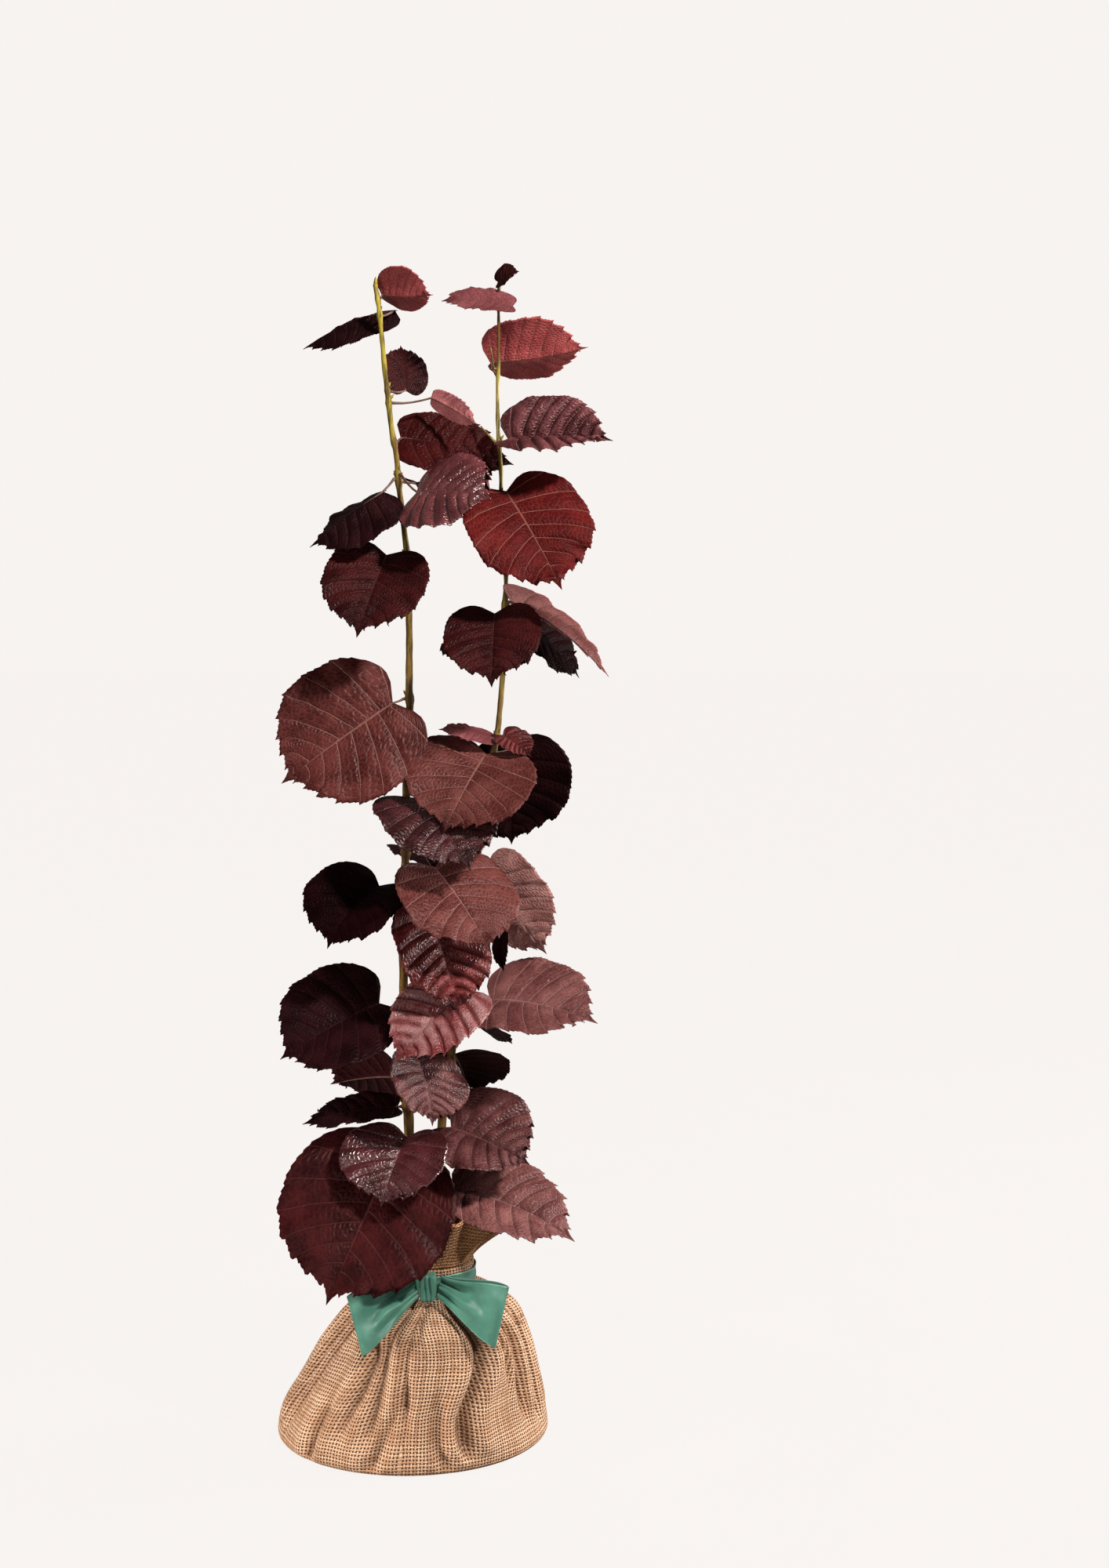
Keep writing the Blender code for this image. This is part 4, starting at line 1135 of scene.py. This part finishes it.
def build_loop(name, side, reach, rise, finish):
    """One loop of the bow, creased where it runs into the knot."""
    rows, columns = 110, 44
    root = np.array(KNOT_PLACE + Vector((side * (KNOT_SIZE.x / 2 + LOOP_GAP), 0.0, 0.0)))
    along = np.array(Vector(reach).normalized())
    across = np.array(Vector(rise).normalized())
    face = np.cross(along, across)
    face = face / np.linalg.norm(face) * side
    start = (1 - math.cos(LOOP_START)) / 2
    front = -side if face[1] > 0 else side      # which way the layer that faces -Y bulges

    def place(row, column):
        turn = LOOP_START + (2 * np.pi - 2 * LOOP_START) * row / rows
        share = column / columns - 0.5
        out = (1 - np.cos(turn)) / 2
        way = np.sign(np.sin(turn))
        puff = LOOP_PUFF / 2 * np.sin(turn) * np.abs(np.sin(turn / 2)) ** LOOP_PINCH
        width = RIBBON_GATHERED + (RIBBON_WIDTH - RIBBON_GATHERED) * smooth_step(out)
        gathered = np.exp(-((out - start) / 0.38) ** 2)
        crease = np.sin(13 * share + 1.2 * side) + 0.6 * np.sin(25 * share + 2.0 + 2 * side)
        dents = sum(deep * np.exp(-((out - at) / long) ** 2 - ((share - up) / tall) ** 2)
                    for deep, at, long, up, tall in LOOP_DENTS)
        lift = (LOOP_CREASE * crease * gathered + dents * MM) * way
        crown = -LOOP_CROWN * (2 * share) ** 2 * (1 - gathered) * way
        body = np.sin(np.pi * np.clip((out - start) / (1 - start), 0.0, 1.0)) ** 0.6
        mouth = smooth_step((share - 0.1) / 0.4) * body
        nearer = way * side * front > 0
        gape = np.where(nearer, LOOP_GAPE, 0.0) * mouth
        drop = np.where(nearer, -LOOP_DROP, LOOP_DROP / 2) * mouth
        points = (root + along * (LOOP_LENGTH * (out - start))[:, None]
                  + face * (puff + lift + crown + gape * way)[:, None]
                  + across * (width * share + drop)[:, None])
        return points, np.stack((turn * LOOP_LENGTH / 2 / MM, share + 0.5), axis=-1)

    loop = laid_grid(name, rows, columns, place)
    thicken(loop, 0.0007)
    finish_piece(loop, name, finish)


def build_knot(finish):
    """The tied middle of the bow: a soft block pinched by upright creases."""
    bpy.ops.mesh.primitive_cube_add(size=1.0)
    knot = bpy.context.object
    knot.name = knot.data.name = "bow_knot"
    edit(knot, lambda: bpy.ops.transform.resize(value=tuple(KNOT_SIZE)),
         lambda: bpy.ops.mesh.subdivide(number_cuts=15),
         lambda: bpy.ops.mesh.vertices_smooth(factor=0.5, repeat=6))
    high = max(corner.co.z for corner in knot.data.vertices)
    wide = max(corner.co.x for corner in knot.data.vertices)
    for corner in knot.data.vertices:
        spot = corner.co
        across, up = spot.x / wide, spot.z / high
        spot.x *= KNOT_SIZE.x / 2 / wide * (0.97 - 0.15 * up * up)
        spot.y *= KNOT_SIZE.y / 2 / wide
        spot.z *= KNOT_SIZE.z / 2 / high
        bent = across + 0.10 * math.sin(2.2 * up)
        crease = sum(deep * math.exp(-((bent - at) / spread) ** 2)
                     for at, spread, deep in KNOT_CREASES) * (1 - 0.35 * up * up)
        spot.y += KNOT_CREASE * crease * (1 if spot.y < 0 else -1)
        spot += KNOT_PLACE
    layer = knot.data.uv_layers[0]
    layer.name = "chart"
    for corner, loop in zip(layer.data, knot.data.loops):
        spot = knot.data.vertices[loop.vertex_index].co - KNOT_PLACE
        corner.uv = (spot.z / MM, 0.5 + spot.x / KNOT_SIZE.x * 0.8)
    finish_piece(knot, "bow_knot", finish)


# ------------------------ studio
# name, place, aim, size, watts, tint, spread in degrees, whether it is mirrored
LAMPS = (
    ("key", (1.75, -1.65, 2.60), (0.02, 0.0, 0.50), 0.30, 135.0, (1.0, 0.97, 0.93), 180, True),
    ("front fill", (-1.3, -2.4, 0.9), (0.0, 0.0, 0.45), 1.4, 15.0, (1.0, 0.98, 0.97), 180, True),
    ("low fill", (-1.9, -0.6, 0.24), (-0.02, 0.0, 0.06), 0.6, 3.0, (1.0, 0.96, 0.92), 40, False),
    ("rim", (2.0, 0.5, 0.9), (0.0, 0.0, 0.25), 0.6, 46.0, (1.0, 0.98, 0.96), 180, True),
)


def build_lamp(name, place, aim, size, power, tint, spread, mirrored):
    data = bpy.data.lights.new(name, "AREA")
    data.shape = "DISK"
    data.size = size
    data.energy = power
    data.color = tint
    data.spread = math.radians(spread)
    lamp = bpy.data.objects.new(name, data)
    bpy.context.scene.collection.objects.link(lamp)
    lamp.visible_glossy = mirrored
    lamp.location = place
    lamp.rotation_euler = (Vector(aim) - Vector(place)).to_track_quat("-Z", "Y").to_euler()


def build_studio():
    """Pale floor and sky, a key light from the right, and soft fill."""
    scene = bpy.context.scene
    scene.view_settings.view_transform = "Standard"
    world = bpy.data.worlds.new("studio")
    scene.world = world
    world.use_nodes = True
    tree = world.node_tree
    tree.nodes.clear()
    seen = put(tree, "Background", {"Color": rgb(0.933, 0.896, 0.871), "Strength": 1.0})
    fill = put(tree, "Background", {"Color": rgb(1.0, 0.97, 0.95), "Strength": 0.12})
    which = put(tree, "LightPath").outputs["Is Camera Ray"]
    mix = put(tree, "MixShader", {0: which, 1: fill.outputs[0], 2: seen.outputs[0]})
    put(tree, "OutputWorld", {0: mix.outputs[0]})

    bpy.ops.mesh.primitive_plane_add(size=40.0, location=(0.0, 0.0, -0.0005))
    floor = bpy.context.object
    floor.name = "floor"
    made, shader = new_material("pale floor", roughness=0.9, specular_ior_level=0.0,
                                emission_strength=1.0)
    tree = made.node_tree
    grain = grey(ramp(specks(tree, 6.0, 3.0), 0.3, 0.7, 0.010, 0.012))
    tree.links.new(grain, shader.inputs["Base Color"])
    # the floor shows as bright as the sky, and throws less light up than it shows
    which = put(tree, "LightPath").outputs["Is Camera Ray"]
    glow = blend(which, rgb(0.30, 0.28, 0.27), rgb(0.925, 0.888, 0.863))
    tree.links.new(glow, shader.inputs["Emission Color"])
    floor.data.materials.append(made)
    for lamp in LAMPS:
        build_lamp(*lamp)

    data = bpy.data.cameras.new("camera")
    data.lens = 45.4
    data.sensor_width = 36.0
    camera = bpy.data.objects.new("camera", data)
    scene.collection.objects.link(camera)
    camera.location = (0.127, -1.72, 0.741)
    camera.rotation_euler = (math.radians(84.8), 0.0, 0.0)
    scene.camera = camera


def main():
    build_studio()
    blade = blade_group()
    uppers = {name: blade_material(blade, name, False) for name in UPPER}
    lowers = {name: blade_material(blade, name, True) for name in LOWER}
    stalk = stalk_material()
    for index, leaf in enumerate(LEAVES):
        below = UPPER[leaf.finish][-1]
        build_leaf(leaf, FIRST_SEED + index, (uppers[leaf.finish], lowers[below]), stalk)
    bark = bark_group()
    left_bark = bark_material(bark, "left bark", rgb(0.46, 0.36, 0.040),
                              rgb(0.170, 0.088, 0.018), 0.80)
    right_bark = bark_material(bark, "right bark", rgb(0.42, 0.33, 0.060),
                               rgb(0.180, 0.088, 0.022), 0.70)
    bud = model_bud()
    build_stem(STEMS["left"], bud, left_bark, 5)
    build_stem(STEMS["right"], bud, right_bark, 6)
    bpy.data.objects.remove(bud)
    build_bare_stalks(right_bark)
    weave = weave_group()
    build_bag(hessian_material(weave, "hessian", rgb(0.84, 0.540, 0.350),
                               rgb(0.46, 0.245, 0.134), rgb(0.085, 0.028, 0.009)))
    # the ruff's cloth is the bag's hessian darkened: a copy in painted shade
    build_ruff(hessian_material(weave, "hessian in painted shade", rgb(0.62, 0.315, 0.150),
                                rgb(0.34, 0.140, 0.055), rgb(0.08, 0.025, 0.008)))
    ribbon = ribbon_material()
    build_band(ribbon)
    for loop in LOOPS:
        build_loop(*loop, ribbon)
    build_knot(ribbon)


main()
